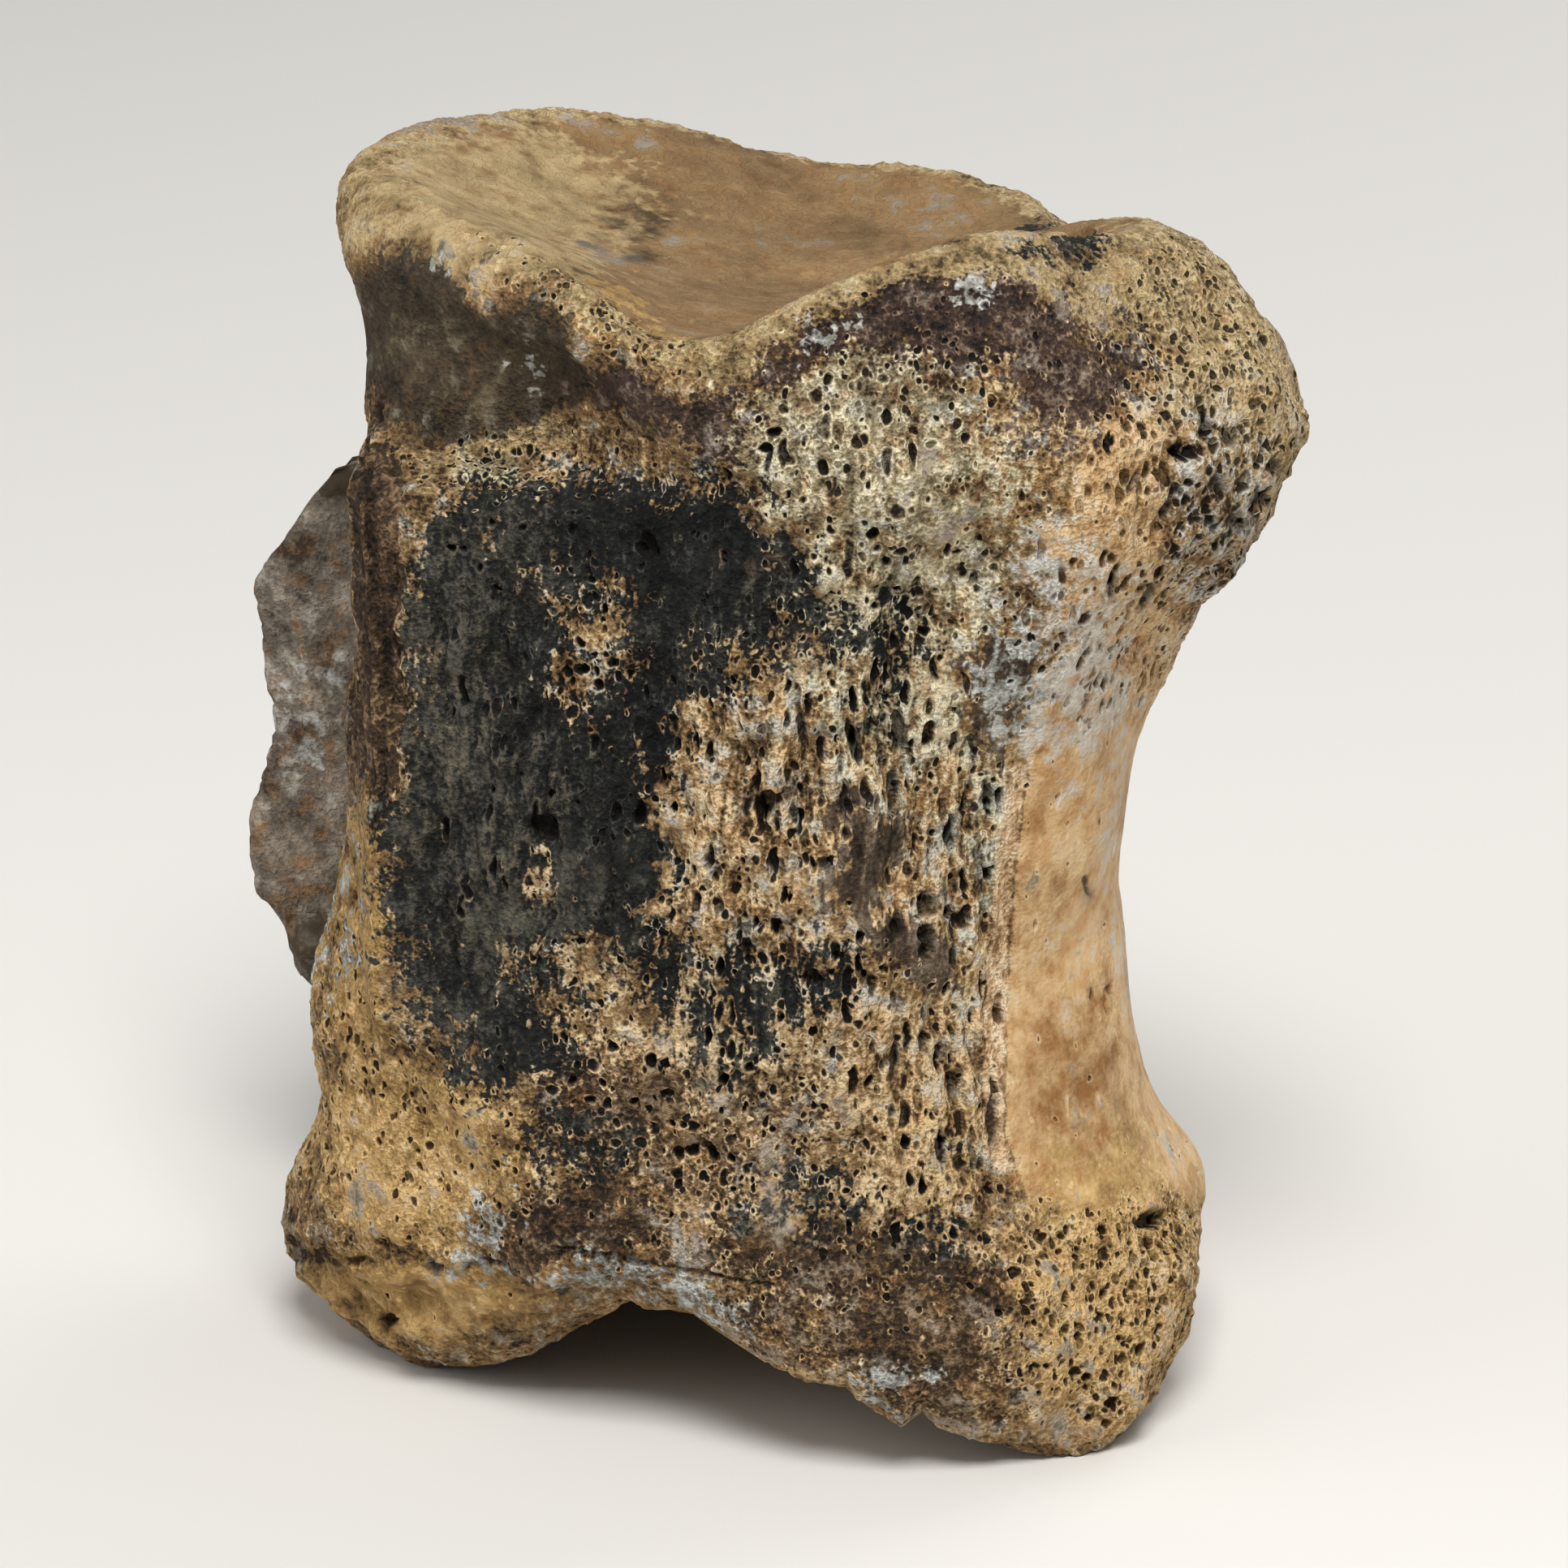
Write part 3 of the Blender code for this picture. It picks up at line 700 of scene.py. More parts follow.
rim = span(place, HIGH_CREST_AT - 0.7, HIGH_CREST_AT - 0.3, HIGH_CREST_AT, HIGH_CREST_AT + 0.3)
share["olive"] = np.maximum(share["olive"], rim * (1 - 0.6 * share["lip"]))
share["olive"] = np.maximum(share["olive"], hidden * (1 - wall_share) * 0.7)
print("dense bone covers", round(100 * float(share["cortex"].mean())), "per cent")

# %% [markdown]
# ## The arch side
# Left of the slab the canal's floor is stained like slate, and so is the thin plate beyond
# it, which has a few marks of its own. The slab's own side is a dark brown strip, set back
# and grooved lengthwise. Whatever else the patches put there is taken off.

# %% Plate, canal and strip
PLATE_X, PLATE_Y = (24.0, 27.5), (6.5, 8.5, 16.5, 18.5)  # mm; X counts towards -X
PLATE_Z = (11.0, 16.0, 52.0, 57.0)
CANAL_DEEP = (0.2, 4.5)  # mm of the canal's depth over which its stain sets in
STRIP_ACROSS = (-28.4, -28.0, -24.0, -23.4)  # the side of the broken base, in the picture
STRIP_UP = (-4.0, 2.0, 20.0, 23.0)
STRIP_TURN = (-0.3, 0.25)  # the normal's part towards the camera, where the strip begins
plate_share = ease(6 * middling - x, *PLATE_X) * span(y + 3 * middling, *PLATE_Y)
plate_share = plate_share * span(z + 14 * middling + 14 * slow, *PLATE_Z)
canal_share = ease(canal(x, y, z) + 12 * middling + 4 * quick + 14 * slow, *CANAL_DEEP)
strip = span(exact_across + 1.6 * quick + 2 * middling, *STRIP_ACROSS) * facing
strip = strip * span(exact_up + 6 * quick + 14 * slow + 10 * middling, *STRIP_UP)
strip = strip * (1 - plate_share)
turning = normal @ towards + 1.4 * middling + 1.4 * slow + 0.8 * quick
strip = strip * ease(turning, *STRIP_TURN)
share["slate"] = np.maximum(plate_share, 0.8 * canal_share)
for name in ("groove", "charcoal", "cream", "ochre"):
    share[name] = share[name] * (1 - plate_share)
share["groove"] = np.maximum(share["groove"], 0.5 * canal_share) * (1 - strip)
share["umber"] = np.maximum(share["umber"] * (1 - strip), 1.4 * strip)
share["charcoal"] = share["charcoal"] * (1 - strip)
share["charcoal"] = share["charcoal"] * (1 - share.pop("network"))
share["lip"] = share["lip"] * (1 - ease(place, HIGH_CREST_AT - 0.15, HIGH_CREST_AT + 0.1))
share["groove"] = share["groove"] * (1 - ease(place, HIGH_CREST_AT - 0.3, HIGH_CREST_AT))
PLATE_STAINS = {
    "ochre": ((-30.6, 12.5, 1.6, 2.0, 0, 0.8), (-28.6, 9.0, 1.5, 0.7, 15, 0.8),
              (-30.4, -4.6, 1.6, 2.2, 0, 0.95), (-27.8, 15.0, 0.8, 1.6, 0, 0.6)),
    "blue_grey": ((-29.6, 2.5, 2.0, 2.0, 0, 0.55), (-28.0, 6.5, 1.6, 0.8, 20, 0.5)),
    "groove": ((-27.6, 18.6, 1.6, 2.0, 0, 1.0), (-28.6, -9.5, 1.6, 2.0, 0, 0.9)),
}
for name, spots in PLATE_STAINS.items():
    share[name] = np.maximum(share[name], patch(across, up, spots) * plate_share)
print("the strip covers", int((strip > 0.5).sum()), "vertices")

# %% [markdown]
# ## Stains on the hidden side
# No photo shows them. Each is an ellipsoid round a place on the bone, in the finishes of
# the near side, so that the bone looks the same from behind.

# %% Stains behind
STAIN_EDGE = (0.5, 1.2)  # shares of the reach between which a stain fades
FAR_STAINS = (  # finish, place and reach in mm, strength
    ("charcoal", (6.0, 18.0, 30.0), (8.0, 9.0, 12.0), 0.75),
    ("cream", (-12.0, 19.0, 50.0), (9.0, 9.0, 8.0), 0.8),
    ("umber", (-4.0, 20.0, 12.0), (14.0, 12.0, 7.0), 0.8),
    ("umber", (-10.0, 21.0, 47.0), (7.0, 6.0, 8.0), 0.8),
    ("cream", (-3.0, 21.0, 32.0), (6.0, 5.0, 9.0), 0.7),
    ("blue_grey", (20.0, 12.0, 38.0), (7.0, 8.0, 14.0), 0.6),
    ("lip", (8.0, 20.0, 62.0), (12.0, 9.0, 5.0), 0.7),
    ("ochre", (-24.0, 10.0, 10.0), (9.0, 9.0, 9.0), 0.8),
)
for name, at, reach, strength in FAR_STAINS:
    apart = np.linalg.norm((form - stand - at) / np.array(reach), axis=-1)
    apart = apart + 1.6 * middling + 0.6 * quick
    spot = strength * (1 - ease(apart, *STAIN_EDGE)) * hidden
    share[name] = np.maximum(share[name], spot)
print("finishes:", ", ".join(share))

# %% [markdown]
# ## Which pores lie open where
# Spongy bone shows three kinds of pore here. On the knob and the lower corner they are
# round. Along the middle of the break they are upright slots, because the struts run along
# the bone. Over the rest they are fine. Dense bone and the smooth fill of old mud have
# few. Each vertex gets an amount of each kind: the share of cells that are open, and at 1
# or more all of them are. The areas are ellipses in the picture again, and solid is how
# sound the bone is.

# %% Areas of pores
ROUND_AREAS = (
    (28.0, 17.5, 5.0, 7.5, 0, 1.2), (23.5, 19.5, 3.5, 4.5, 0, 0.75),
    (19.5, -31.5, 6.5, 8.5, 0, 0.7), (4.7, 19.6, 10.0, 5.0, -8, 0.5),
    (7.2, 12.3, 8.5, 5.0, 0, 0.6), (-13.0, 7.6, 3.2, 5.0, 0, 0.8),
    (-7.0, -20.0, 9.0, 5.0, 0, 0.62), (30.0, 26.0, 3.0, 4.0, 0, 0.45),
    (25.0, 12.0, 4.0, 3.0, 0, 0.7), (-18.0, 14.0, 5.0, 3.0, 0, 0.5),
)
UPRIGHT_AREAS = (
    (8.0, 0.0, 6.5, 12.0, 0, 0.95), (12.0, -14.0, 3.0, 12.0, 0, 0.95),
    (0.0, -4.0, 8.0, 9.0, 0, 0.85), (8.0, -20.0, 5.0, 8.0, 0, 0.8),
    (-9.0, 0.0, 6.0, 12.0, 0, 0.5), (19.5, 17.0, 3.0, 5.0, 0, 0.5),
    (-2.0, -13.0, 7.0, 6.0, 0, 0.7), (5.0, 17.0, 9.0, 6.0, 0, 0.45),
    (8.0, 11.0, 6.0, 4.0, 0, 0.6), (-17.0, 0.0, 7.0, 14.0, 0, 0.42),
    (-5.0, 12.0, 6.0, 5.0, 0, 0.4),
)
FINE_AREAS = (
    (2.0, -4.0, 18.0, 26.0, 0, 0.78), (-22.0, -22.0, 9.0, 7.0, 0, 0.5),
    (-20.0, -31.0, 8.0, 3.0, 0, 0.2), (19.5, -31.0, 6.0, 8.0, 0, 1.1),
    (12.0, 26.0, 12.0, 5.0, 0, 0.6), (27.0, 26.0, 8.0, 9.0, 0, 0.8),
    (-18.0, 20.0, 6.0, 3.0, 0, 0.6), (-11.4, 29.4, 8.0, 2.0, -30, 0.7),
    (24.0, 12.0, 8.0, 8.0, 0, 0.6), (-27.0, -14.0, 2.0, 9.0, 0, 0.5),
)
SMOOTH_AREAS = (  # hardly any crumbs of bone lie on these
    (-21.0, -32.2, 8.5, 2.4, 0, 0.8), (-26.5, -10.0, 2.2, 10.0, 0, 0.5),
    (-18.5, 36.0, 9.0, 4.5, 0, 0.85), (-23.0, -22.0, 7.0, 5.0, 0, 0.4),
)
SLIT_UP = (0.5, 8.0)  # above this the dense layer is worn through in slits
black = np.clip(share["charcoal"], 0, 1)
slit_area = ease(up, *SLIT_UP) * facing
solid = share["cortex"] * (1 - 0.8 * slit_area)
open_bone = (1 - solid) * (1 - 0.75 * share["matrix"])
open_bone = open_bone * (1 - 0.2 * black) * (1 - 0.8 * strip)
open_bone = open_bone * (1 - 0.5 * share["lip"]) * (1 - 0.85 * share["groove"])
open_bone = np.clip(open_bone, 0, 1) * (1 - 0.5 * shell)
pores = {
    "round_pores": patch(across, up, ROUND_AREAS) * facing,
    "upright_pores": patch(across, up, UPRIGHT_AREAS) * facing,
    "fine_pores": patch(across, up, FINE_AREAS) * facing,
}
print("open bone covers", round(100 * float(open_bone.mean())), "per cent")

# %% [markdown]
# ## Veils and tints
# Some finishes have no patch of their own. Film is a greyish veil and rust a warm one over
# all spongy bone, thinner where a strong stain lies. Silt is dried mud in the charcoal.
# Blue-grey and orange clouds drift over the dense bone.

# %% Veils
LESS_TINT = {  # of film and of rust, where a finish lies
    "ochre": (0.85, 0.2), "olive": (0.8, 0.3), "umber": (0.9, 0.5), "groove": (0.9, 0.8),
    "lip": (0.8, 0.8), "slate": (0.45, 0.2), "cream": (0.5, 0.2),
}
share["film"] = 0.3 * (1 - share["cortex"]) * (1 - share["bowl"])
share["rust"] = 0.34 * (1 - share["cortex"])
share["silt"] = 0.36 * black
for name, less in LESS_TINT.items():
    for tint, part in zip(("film", "rust"), less):
        share[tint] = share[tint] * (1 - part * np.clip(share[name], 0, 1))
for tint in ("film", "rust"):
    share[tint] = share[tint] * (1 - 0.85 * strip)
SHELL_UP = (-25.0, -22.0, 0.0, 4.0)
share["shell"] = 0.9 * shell * span(up, *SHELL_UP)
blue_areas = np.clip(0.05 + 1.2 * slow[:, ::-1], 0, 0.3) * share["cortex"]
share["blue_grey"] = np.maximum(share["blue_grey"], blue_areas)
orange_areas = np.clip(0.25 + 1.6 * slow, 0, 0.6) * share["cortex"]
share["orange"] = np.maximum(share["orange"], orange_areas)
print(len(share), "shares:", ", ".join(share))

# %% [markdown]
# ## How rough, how open, how streaky
# Crumbly is how much loose grit shows, patchy how much coarse mottling, and streaky how far
# the fine pattern is drawn out along the bone. Where slots lie open there is less room for
# the other pores. The far stump and the knob's hidden side get pores without a picture.

# %% Crumbs, mottling, pores and streaks
KNOB_BEHIND = (22, 28)  # mm towards +X
top_or_plate = np.maximum(share["bowl"], share["slate"])
crumbly = 1 - 0.8 * solid - 0.35 * share["matrix"] - 0.1 * black
crumbly = crumbly - 0.95 * share["bowl"] - 0.5 * share["groove"] - 0.4 * share["slate"]
crumbly = np.clip(crumbly, 0, 1)
smooth = patch(across, up, SMOOTH_AREAS) * facing
crumbly = crumbly * (1 - smooth)
patchy = 1 - 0.6 * np.maximum(share["bowl"], smooth)
pores["round_pores"] = np.maximum(pores["round_pores"], 0.35 * stump_share * hidden)
pores["upright_pores"] = np.maximum(pores["upright_pores"], 0.55 * stump_share * hidden)
pores["round_pores"] = np.maximum(pores["round_pores"], 0.75 * hidden * ease(x, *KNOB_BEHIND))
pores["fine_pores"] = np.maximum(pores["fine_pores"], 0.6 * hidden * (1 - share["cortex"]))
for name, less in (("round_pores", 0.5), ("fine_pores", 0.6)):
    pores[name] = pores[name] * (1 - less * np.clip(pores["upright_pores"], 0, 1))
for name in pores:
    pores[name] = pores[name] * open_bone * (1 - 0.85 * top_or_plate)
pores["upright_pores"] = np.maximum(pores["upright_pores"], 0.1 * share["cortex"])
pores["fine_pores"] = np.maximum(pores["fine_pores"], 0.12 * share["cortex"] * (1 - rim))
pores["upright_pores"] = np.maximum(pores["upright_pores"], 0.8 * belly * slit_area)
streaky = np.maximum(0.35 * share["cortex"], patch(across, up, UPRIGHT_AREAS) * facing)
streaky = np.maximum(streaky, 0.8 * belly * slit_area)
streaky = np.clip(np.maximum(streaky, 0.4 * share["charcoal"]), 0, 1)
print({name: round(float(amount.mean()), 3) for name, amount in pores.items()})

# %% [markdown]
# ## Lighter and darker places
# Within one finish the bone is worn pale in some places and dirty in others, and some
# places carry painted light and shade: a painted highlight on the upper lobe, and painted
# shade under the upper rim at the top left. These ellipses raise or lower the tone there,
# and slow noise does the same everywhere.

# %% Shade
# lighter places: worn pale bone, and a painted highlight on the upper lobe
LIGHTER = (
    (20.0, -31.0, 7.0, 9.0, 0, 0.12), (10.0, -14.0, 4.5, 12.0, 0, 0.12),
    (7.0, 0.0, 6.0, 8.0, 0, 0.17), (28.0, 25.0, 5.0, 4.0, 0, 0.08),
    (18.6, 6.0, 3.0, 5.0, 0, 0.2), (16.0, 21.0, 4.0, 2.5, 0, 0.12),
    (-23.0, -23.0, 6.0, 5.0, 0, 0.08), (-2.0, -4.5, 5.0, 6.0, 0, 0.06),
    (-21.0, 6.0, 3.5, 10.0, 0, 0.14), (-17.5, -6.0, 4.0, 8.0, 0, 0.12),
    (5.0, 32.0, 4.0, 0.8, 8, 0.12), (-21.0, -32.0, 6.0, 2.4, 0, 0.06),
    (8.2, -22.5, 4.0, 5.0, 0, 0.1), (-13.0, 37.2, 4.0, 1.8, -15, 0.06),
    (19.0, 0.0, 4.0, 16.0, 0, 0.06), (0.0, -9.0, 6.0, 5.0, 0, 0.05),
    (8.5, -35.0, 6.0, 3.5, -30, 0.08), (-6.8, -20.2, 7.0, 5.5, 0, 0.16),
    (3.0, -34.4, 7.0, 2.6, 0, 0.1),
)
# darker places: dirty bone, and painted shade under the upper rim at the top left
DARKER = (
    (-6.5, 14.8, 5.0, 4.0, 0, 0.25), (-10.0, -1.0, 3.0, 8.0, 0, 0.16),
    (-8.6, 34.2, 1.3, 0.5, -35, 0.4), (-11.2, 34.2, 0.8, 0.35, -20, 0.25),
    (-9.3, 36.3, 1.8, 0.4, 0, 0.16), (-12.9, 31.9, 1.5, 0.35, -28, 0.3),
    (-18.5, 20.3, 6.0, 1.2, 0, 0.1), (13.0, 33.2, 3.5, 0.5, -8, 0.2),
    (2.0, 34.5, 5.0, 1.0, 0, 0.08), (5.6, -4.8, 2.4, 2.8, 0, 0.2),
    (18.0, -19.0, 3.0, 5.0, 0, 0.2), (-21.0, 25.0, 5.0, 5.0, 0, 0.07),
    (-9.0, 25.0, 4.0, 1.5, -30, 0.1),
)
shade = (patch(across, up, LIGHTER) - patch(across, up, DARKER)) * facing
shade = shade + middling * (1 - crumbly) * patchy + 0.5 * slow
print("shade from", round(float(shade.min()), 2), "to", round(float(shade.max()), 2))

# %% [markdown]
# ## Relief
# The relief is a push along the normals. It could be left to bump in the material, but then
# the outline would stay smooth and the pores would have no walls. Dense bone stands a
# little proud of the break, and old mud fills pores to the brim. The vessels, cracks and
# folds are the ones that can be told apart in the picture. The trims move
# the outline where the solid's is a little off, and the notches are the jagged lower edge
# of the break.

# %% What was placed one by one
VESSELS = (  # across, up, half width, half height, lean, depth in mm
    (8.85, -7.4, 0.62, 0.85, 0, 1.3), (8.75, -9.2, 0.55, 0.55, 0, 1.3), (8.8, -10.3, 0.5, 0.5, 0, 1.1),
    (10.5, -10.7, 0.36, 0.8, 4, 1.0), (3.8, -1.1, 0.3, 1.3, 0, 0.9), (-1.0, -1.2, 0.5, 0.8, 0, 0.7),
    (6.8, -0.6, 0.42, 1.5, 3, 1.2), (10.3, -3.0, 0.3, 1.3, 0, 0.9), (2.5, -4.9, 0.4, 0.5, 0, 0.8),
    (10.3, -8.0, 0.42, 0.42, 0, 0.9), (7.0, -8.8, 0.4, 0.65, 20, 0.9), (6.8, -17.2, 0.28, 1.4, -6, 0.9),
    (8.5, -15.4, 0.32, 1.2, -4, 0.9), (9.6, -16.6, 0.36, 0.65, 0, 0.9), (10.6, -18.3, 0.36, 0.7, 0, 0.8),
    (9.7, -22.4, 0.36, 1.0, 0, 0.8), (1.8, -12.2, 0.8, 0.42, -10, 0.8), (3.3, -10.7, 0.3, 0.3, 0, 0.6),
    (5.0, -12.0, 0.32, 0.38, 0, 0.6), (-2.4, -10.2, 0.42, 0.42, 0, 0.7), (-14.8, -3.0, 0.9, 0.8, 0, 1.4),
    (22.7, -26.8, 0.9, 0.6, 20, 1.3), (27.5, 21.5, 0.6, 0.6, 0, 0.6), (28.0, 16.0, 0.7, 0.5, -20, 0.6),
    (30.5, 19.5, 0.5, 0.6, 0, 0.5), (-24.5, -33.2, 0.6, 0.4, 0, 0.8), (7.2, 3.2, 0.4, 1.4, 8, 0.9),
    (12.9, -20.8, 0.35, 1.6, 0, 0.5), (-8.5, 14.6, 0.5, 0.7, 0, 0.9), (26.0, 22.0, 0.5, 0.8, 0, 0.5),
    (12.6, -1.0, 0.26, 1.1, 0, 0.7), (4.3, 2.6, 0.34, 1.4, 14, 0.9), (1.2, 3.4, 0.34, 1.2, 8, 0.8),
    (18.9, -13.0, 0.13, 0.55, 0, 0.2), (18.4, -6.2, 0.16, 0.7, 3, 0.12), (24.6, 20.6, 0.8, 0.5, 30, 0.7),
    (26.8, 18.4, 0.6, 0.5, 10, 0.6), (29.6, 17.4, 0.5, 0.5, 0, 0.5), (23.6, 17.0, 0.3, 0.8, -30, 0.6),
    (21.6, 18.6, 0.2, 0.9, -25, 0.5), (20.2, 12.4, 0.2, 0.9, -10, 0.5), (22.4, 11.6, 0.25, 0.9, -30, 0.5),
)
CRACKS = (  # across and up of both ends, half width and depth in mm
    ((-16.0, 4.6), (-16.6, -0.4), 0.16, 0.45), ((-19.6, -1.6), (-18.6, -7.0), 0.16, 0.45),
    ((-15.2, 4.0), (-13.8, -4.6), 0.13, 0.35), ((-21.4, 12.0), (-20.8, 3.0), 0.14, 0.35),
    ((-12.2, 13.6), (-13.4, 8.8), 0.13, 0.35), ((-17.8, 12.6), (-17.0, 6.4), 0.13, 0.3),
    ((-14.2, -6.4), (-15.8, -13.4), 0.14, 0.35), ((-10.4, -2.6), (-10.9, -9.8), 0.13, 0.3),
    ((-14.2, -28.7), (-7.0, -30.0), 0.22, 0.6), ((-7.6, -29.9), (-0.6, -31.0), 0.2, 0.5),
    ((6.2, 6.4), (4.6, 1.6), 0.14, 0.4), ((6.6, 5.6), (5.6, 0.6), 0.14, 0.45),
    ((-25.0, 2.0), (-25.4, -3.8), 0.16, 0.4), ((10.6, -30.2), (13.0, -31.6), 0.16, 0.4),
    ((-24.4, 14.5), (-24.0, 4.5), 0.13, 0.3), ((18.6, 6.4), (18.4, 2.2), 0.09, 0.2),
    ((-21.0, -6.5), (-20.2, -11.5), 0.13, 0.3), ((19.9, -12.0), (19.8, -14.2), 0.14, 0.3),
)
FOLDS = (  # given as cracks are, but wider and softer
    ((-31.2, -28.6), (-26.0, -29.4), 0.7, 0.4), ((-27.5, -29.3), (-21.0, -29.2), 0.55, 0.35),
    ((-22.5, -29.1), (-16.8, -30.2), 0.45, 0.3), ((-15.0, 4.6), (-17.6, 2.0), 0.5, 0.3),
)
TRIMS = (  # place, radius and height in mm, where the solid's outline is a little off
    ((21.2, 0.0, 32.0), 7.0, 1.1), ((21.3, 4.0, 23.5), 7.5, -0.95), ((22.3, -1.0, 41.0), 6.0, -0.4),
    ((32.3, 0.0, 59.0), 6.0, -0.8), ((28.0, -1.9, 52.7), 3.5, 0.8), ((-34.5, 10.5, 18.0), 3.5, 1.2),
    ((24.9, 3.8, 12.8), 5.0, 0.7), ((-29.4, -7.6, 4.4), 3.5, 1.0), ((-26.4, -6.5, 70.3), 5.0, -0.5),
    ((-36.0, 10.5, 47.0), 3.5, -0.8), ((26.4, -9.0, 2.0), 5.0, -0.9),
)
NOTCHES = (  # across in the picture and how far the lower edge is lifted there, in mm
    (-26.0, 0.2), (-20.0, 0.6), (-15.5, 0.6), (-12.0, 1.3), (-9.5, 2.3), (-8.3, 1.5),
    (-5.6, 1.4), (-4.6, 0.9), (-2.0, 0.2), (1.5, 0.1), (3.8, 0.9), (4.4, 0.4), (7.2, -0.2),
    (8.5, 1.2), (9.6, 0.6), (13.0, 0.4), (17.0, 0.0),
)
print(len(VESSELS), "vessels,", len(CRACKS), "cracks,", len(FOLDS), "folds,", len(TRIMS), "trims")

# %% [markdown]
# ## Cutting a pore and a crack
# A pore lies where the distance to the nearest cell centre is under that cell's radius; its
# wall and lip are eased steps, and each cell has its own radius and depth. A crack is a
# wavering line, and its depth falls off with the distance across it.

# %% Pores and cracks
def pore_share(name, amount):
    """How deep a pore is at each vertex, from 0 to 1. The amount is the share of cells that
    are open: those whose order, a random number, is below it."""
    small, large = CELLS[name]["radii"]
    opened = np.clip((amount * (1 + OPENING) - read[name + "_order"]) / OPENING, 0, 1)
    radius = opened * (small + (large - small) * read[name + "_size"])
    gap = read[name + "_gap"] - radius
    deep = SHALLOW + (1 - SHALLOW) * ease(read[name + "_fill"], *DEEP_FROM)
    return (1 - ease(gap, -PORE_WALL, PORE_LIP)) * deep * np.clip(4 * opened, 0, 1)


CRACK_RUN = (0.0, 0.25, 0.7, 1.0)  # shares of its length between which it opens and closes


def crack_share(across, up, start, end, width):
    """One minus the distance across the line over its half width, between its ends only."""
    line = np.subtract(end, start)
    length = np.hypot(*line)
    ahead, aside = line / length, np.array([-line[1], line[0]]) / length
    run = ((across - start[0]) * ahead[0] + (up - start[1]) * ahead[1]) / length
    off = (across - start[0]) * aside[0] + (up - start[1]) * aside[1]
    thin = span(run, *CRACK_RUN)
    return np.clip(1 - np.abs(off) / (width * (0.35 + thin)), 0, 1) * (thin > 0.02)


# %% [markdown]
# ## All of the relief together
# The push is a sum: finish by finish how far it stands out or lies back, noise where the
# bone is open, the columns between the slots, pores, vessels, cracks and folds. Gaps is
# where a vessel or crack is open, for the material to darken with painted shade, and the
# shade is darkened in each fold as painted shade too. At the end nothing may sink under
# the face that the bone stands on.

# %% Push the grid
CORTEX_PROUD, MATRIX_PROUD = 0.2, 0.1  # mm
BUMPS = {"blotch": 1.3, "crumb": 0.8, "grit": 0.2}  # mm a unit of the noise
COLUMNS_DEEP, STRIP_GROOVES = 2.6, 2.4  # mm a unit of the noise
STRIP_BACK = 0.45  # mm
RECESS = {"charcoal": 0.35, "umber": 0.2, "cream": -0.25}  # mm that a stained part lies back
ALL_ROUGH, SOLID_LESS, SPONGY_ROUGH = 0.2, 0.1, 0.8  # shares of the bumps
STUMP_RIM = (1.0, 5.0, 15.0, 20.0)  # mm of the stump's height where its edge is ragged
VESSEL_DEEP = 0.7  # how much of its given depth each vessel is cut
CRACK_WANDER, FOLD_WANDER = 2.2, 4.8  # mm a unit of the noise
UNDER_EDGE, UNDER_ROWS = (4.0, 12.0), (0.25, 1.0)  # mm to the camera, rings from the crest

fill = 1 - share["matrix"]
push = CORTEX_PROUD * (share["cortex"] - 0.5) + MATRIX_PROUD * share["matrix"]
for at, radius, high in TRIMS:
    apart = np.linalg.norm(form - stand - at, axis=-1)
    push += high * np.exp(-((apart / radius) ** 2) * 2)
rough = ALL_ROUGH - SOLID_LESS * solid + SPONGY_ROUGH * open_bone * (1 - share["bowl"])
swell = sum(height * (read[name] - 0.5) for name, height in BUMPS.items()) * rough * fill
column = read["column"] - 0.5
swell = swell + COLUMNS_DEEP * column * pores["upright_pores"] * (1 - share["cortex"])
swell = swell + STRIP_GROOVES * column * strip
ragged = span(stump(x, z), *STUMP_RIM) * (y > 0)
push = push + ragged * (3.5 * middling + 1.5 * quick)
recess = sum(deep * np.clip(share[name], 0, 1) for name, deep in RECESS.items())
push = push + swell - STRIP_BACK * strip - recess
for name in pores:
    push -= CELLS[name]["deep"] * pore_share(name, pores[name])
wander = CRACK_WANDER * quick
# gaps: open vessels and cracks, which the material paints dark as shade
gaps = np.zeros(form.shape[:2])
for spot in VESSELS:
    hole = patch(exact_across + 0.4 * wander, exact_up + 0.4 * wander[::-1], (spot[:5] + (1.0,),))
    push -= VESSEL_DEEP * spot[5] * ease(hole * facing, 0.4, 0.75)
    gaps = np.maximum(gaps, ease(hole * facing, 0.3, 0.6))
for start, end, width, depth in CRACKS:
    crack = crack_share(exact_across + wander, exact_up, start, end, width) * facing
    push -= depth * crack
    gaps = np.maximum(gaps, 0.9 * crack)
for start, end, width, depth in FOLDS:
    bent = exact_up + FOLD_WANDER * middling
    fold = crack_share(exact_across, bent, start, end, width) * facing
    push -= depth * ease(fold, 0.0, 1.0)
    # painted shade: the tone is darkened in each fold
    shade = shade - 0.3 * ease(fold, 0.0, 1.0)
relief = form + normal * push[..., None]
level_towards = towards * (1, 1, 0) / np.linalg.norm(towards[:2])
near_rim = ease((form - AIM) @ level_towards, *UNDER_EDGE)
near_rim = near_rim * (1 - ease(np.abs(place - LOW_CREST_AT), *UNDER_ROWS))
relief[..., 2] += np.interp(exact_across, *zip(*NOTCHES)) * near_rim
relief = closed(relief)
relief[..., 2] = np.maximum(relief[..., 2], low_corner[2] / MM)
print("relief from", round(float(push.min()), 2), "to", round(float(push.max()), 2), "mm")

# %% [markdown]
# ## One closed mesh
# The grid is joined into quads by index arithmetic, with a fan of triangles at either pole.
# Its 1.7 million triangles are far too many to hand on, so Decimate takes it under 200,000.
# It spends them where the surface bends, which is at the pores. Attributes are carried
# through: the shares of each finish, the rest place, where the skin was before the relief,
# and the grid place for the UV map.

# %% Join the grid
MOST_TRIANGLES = 198_000


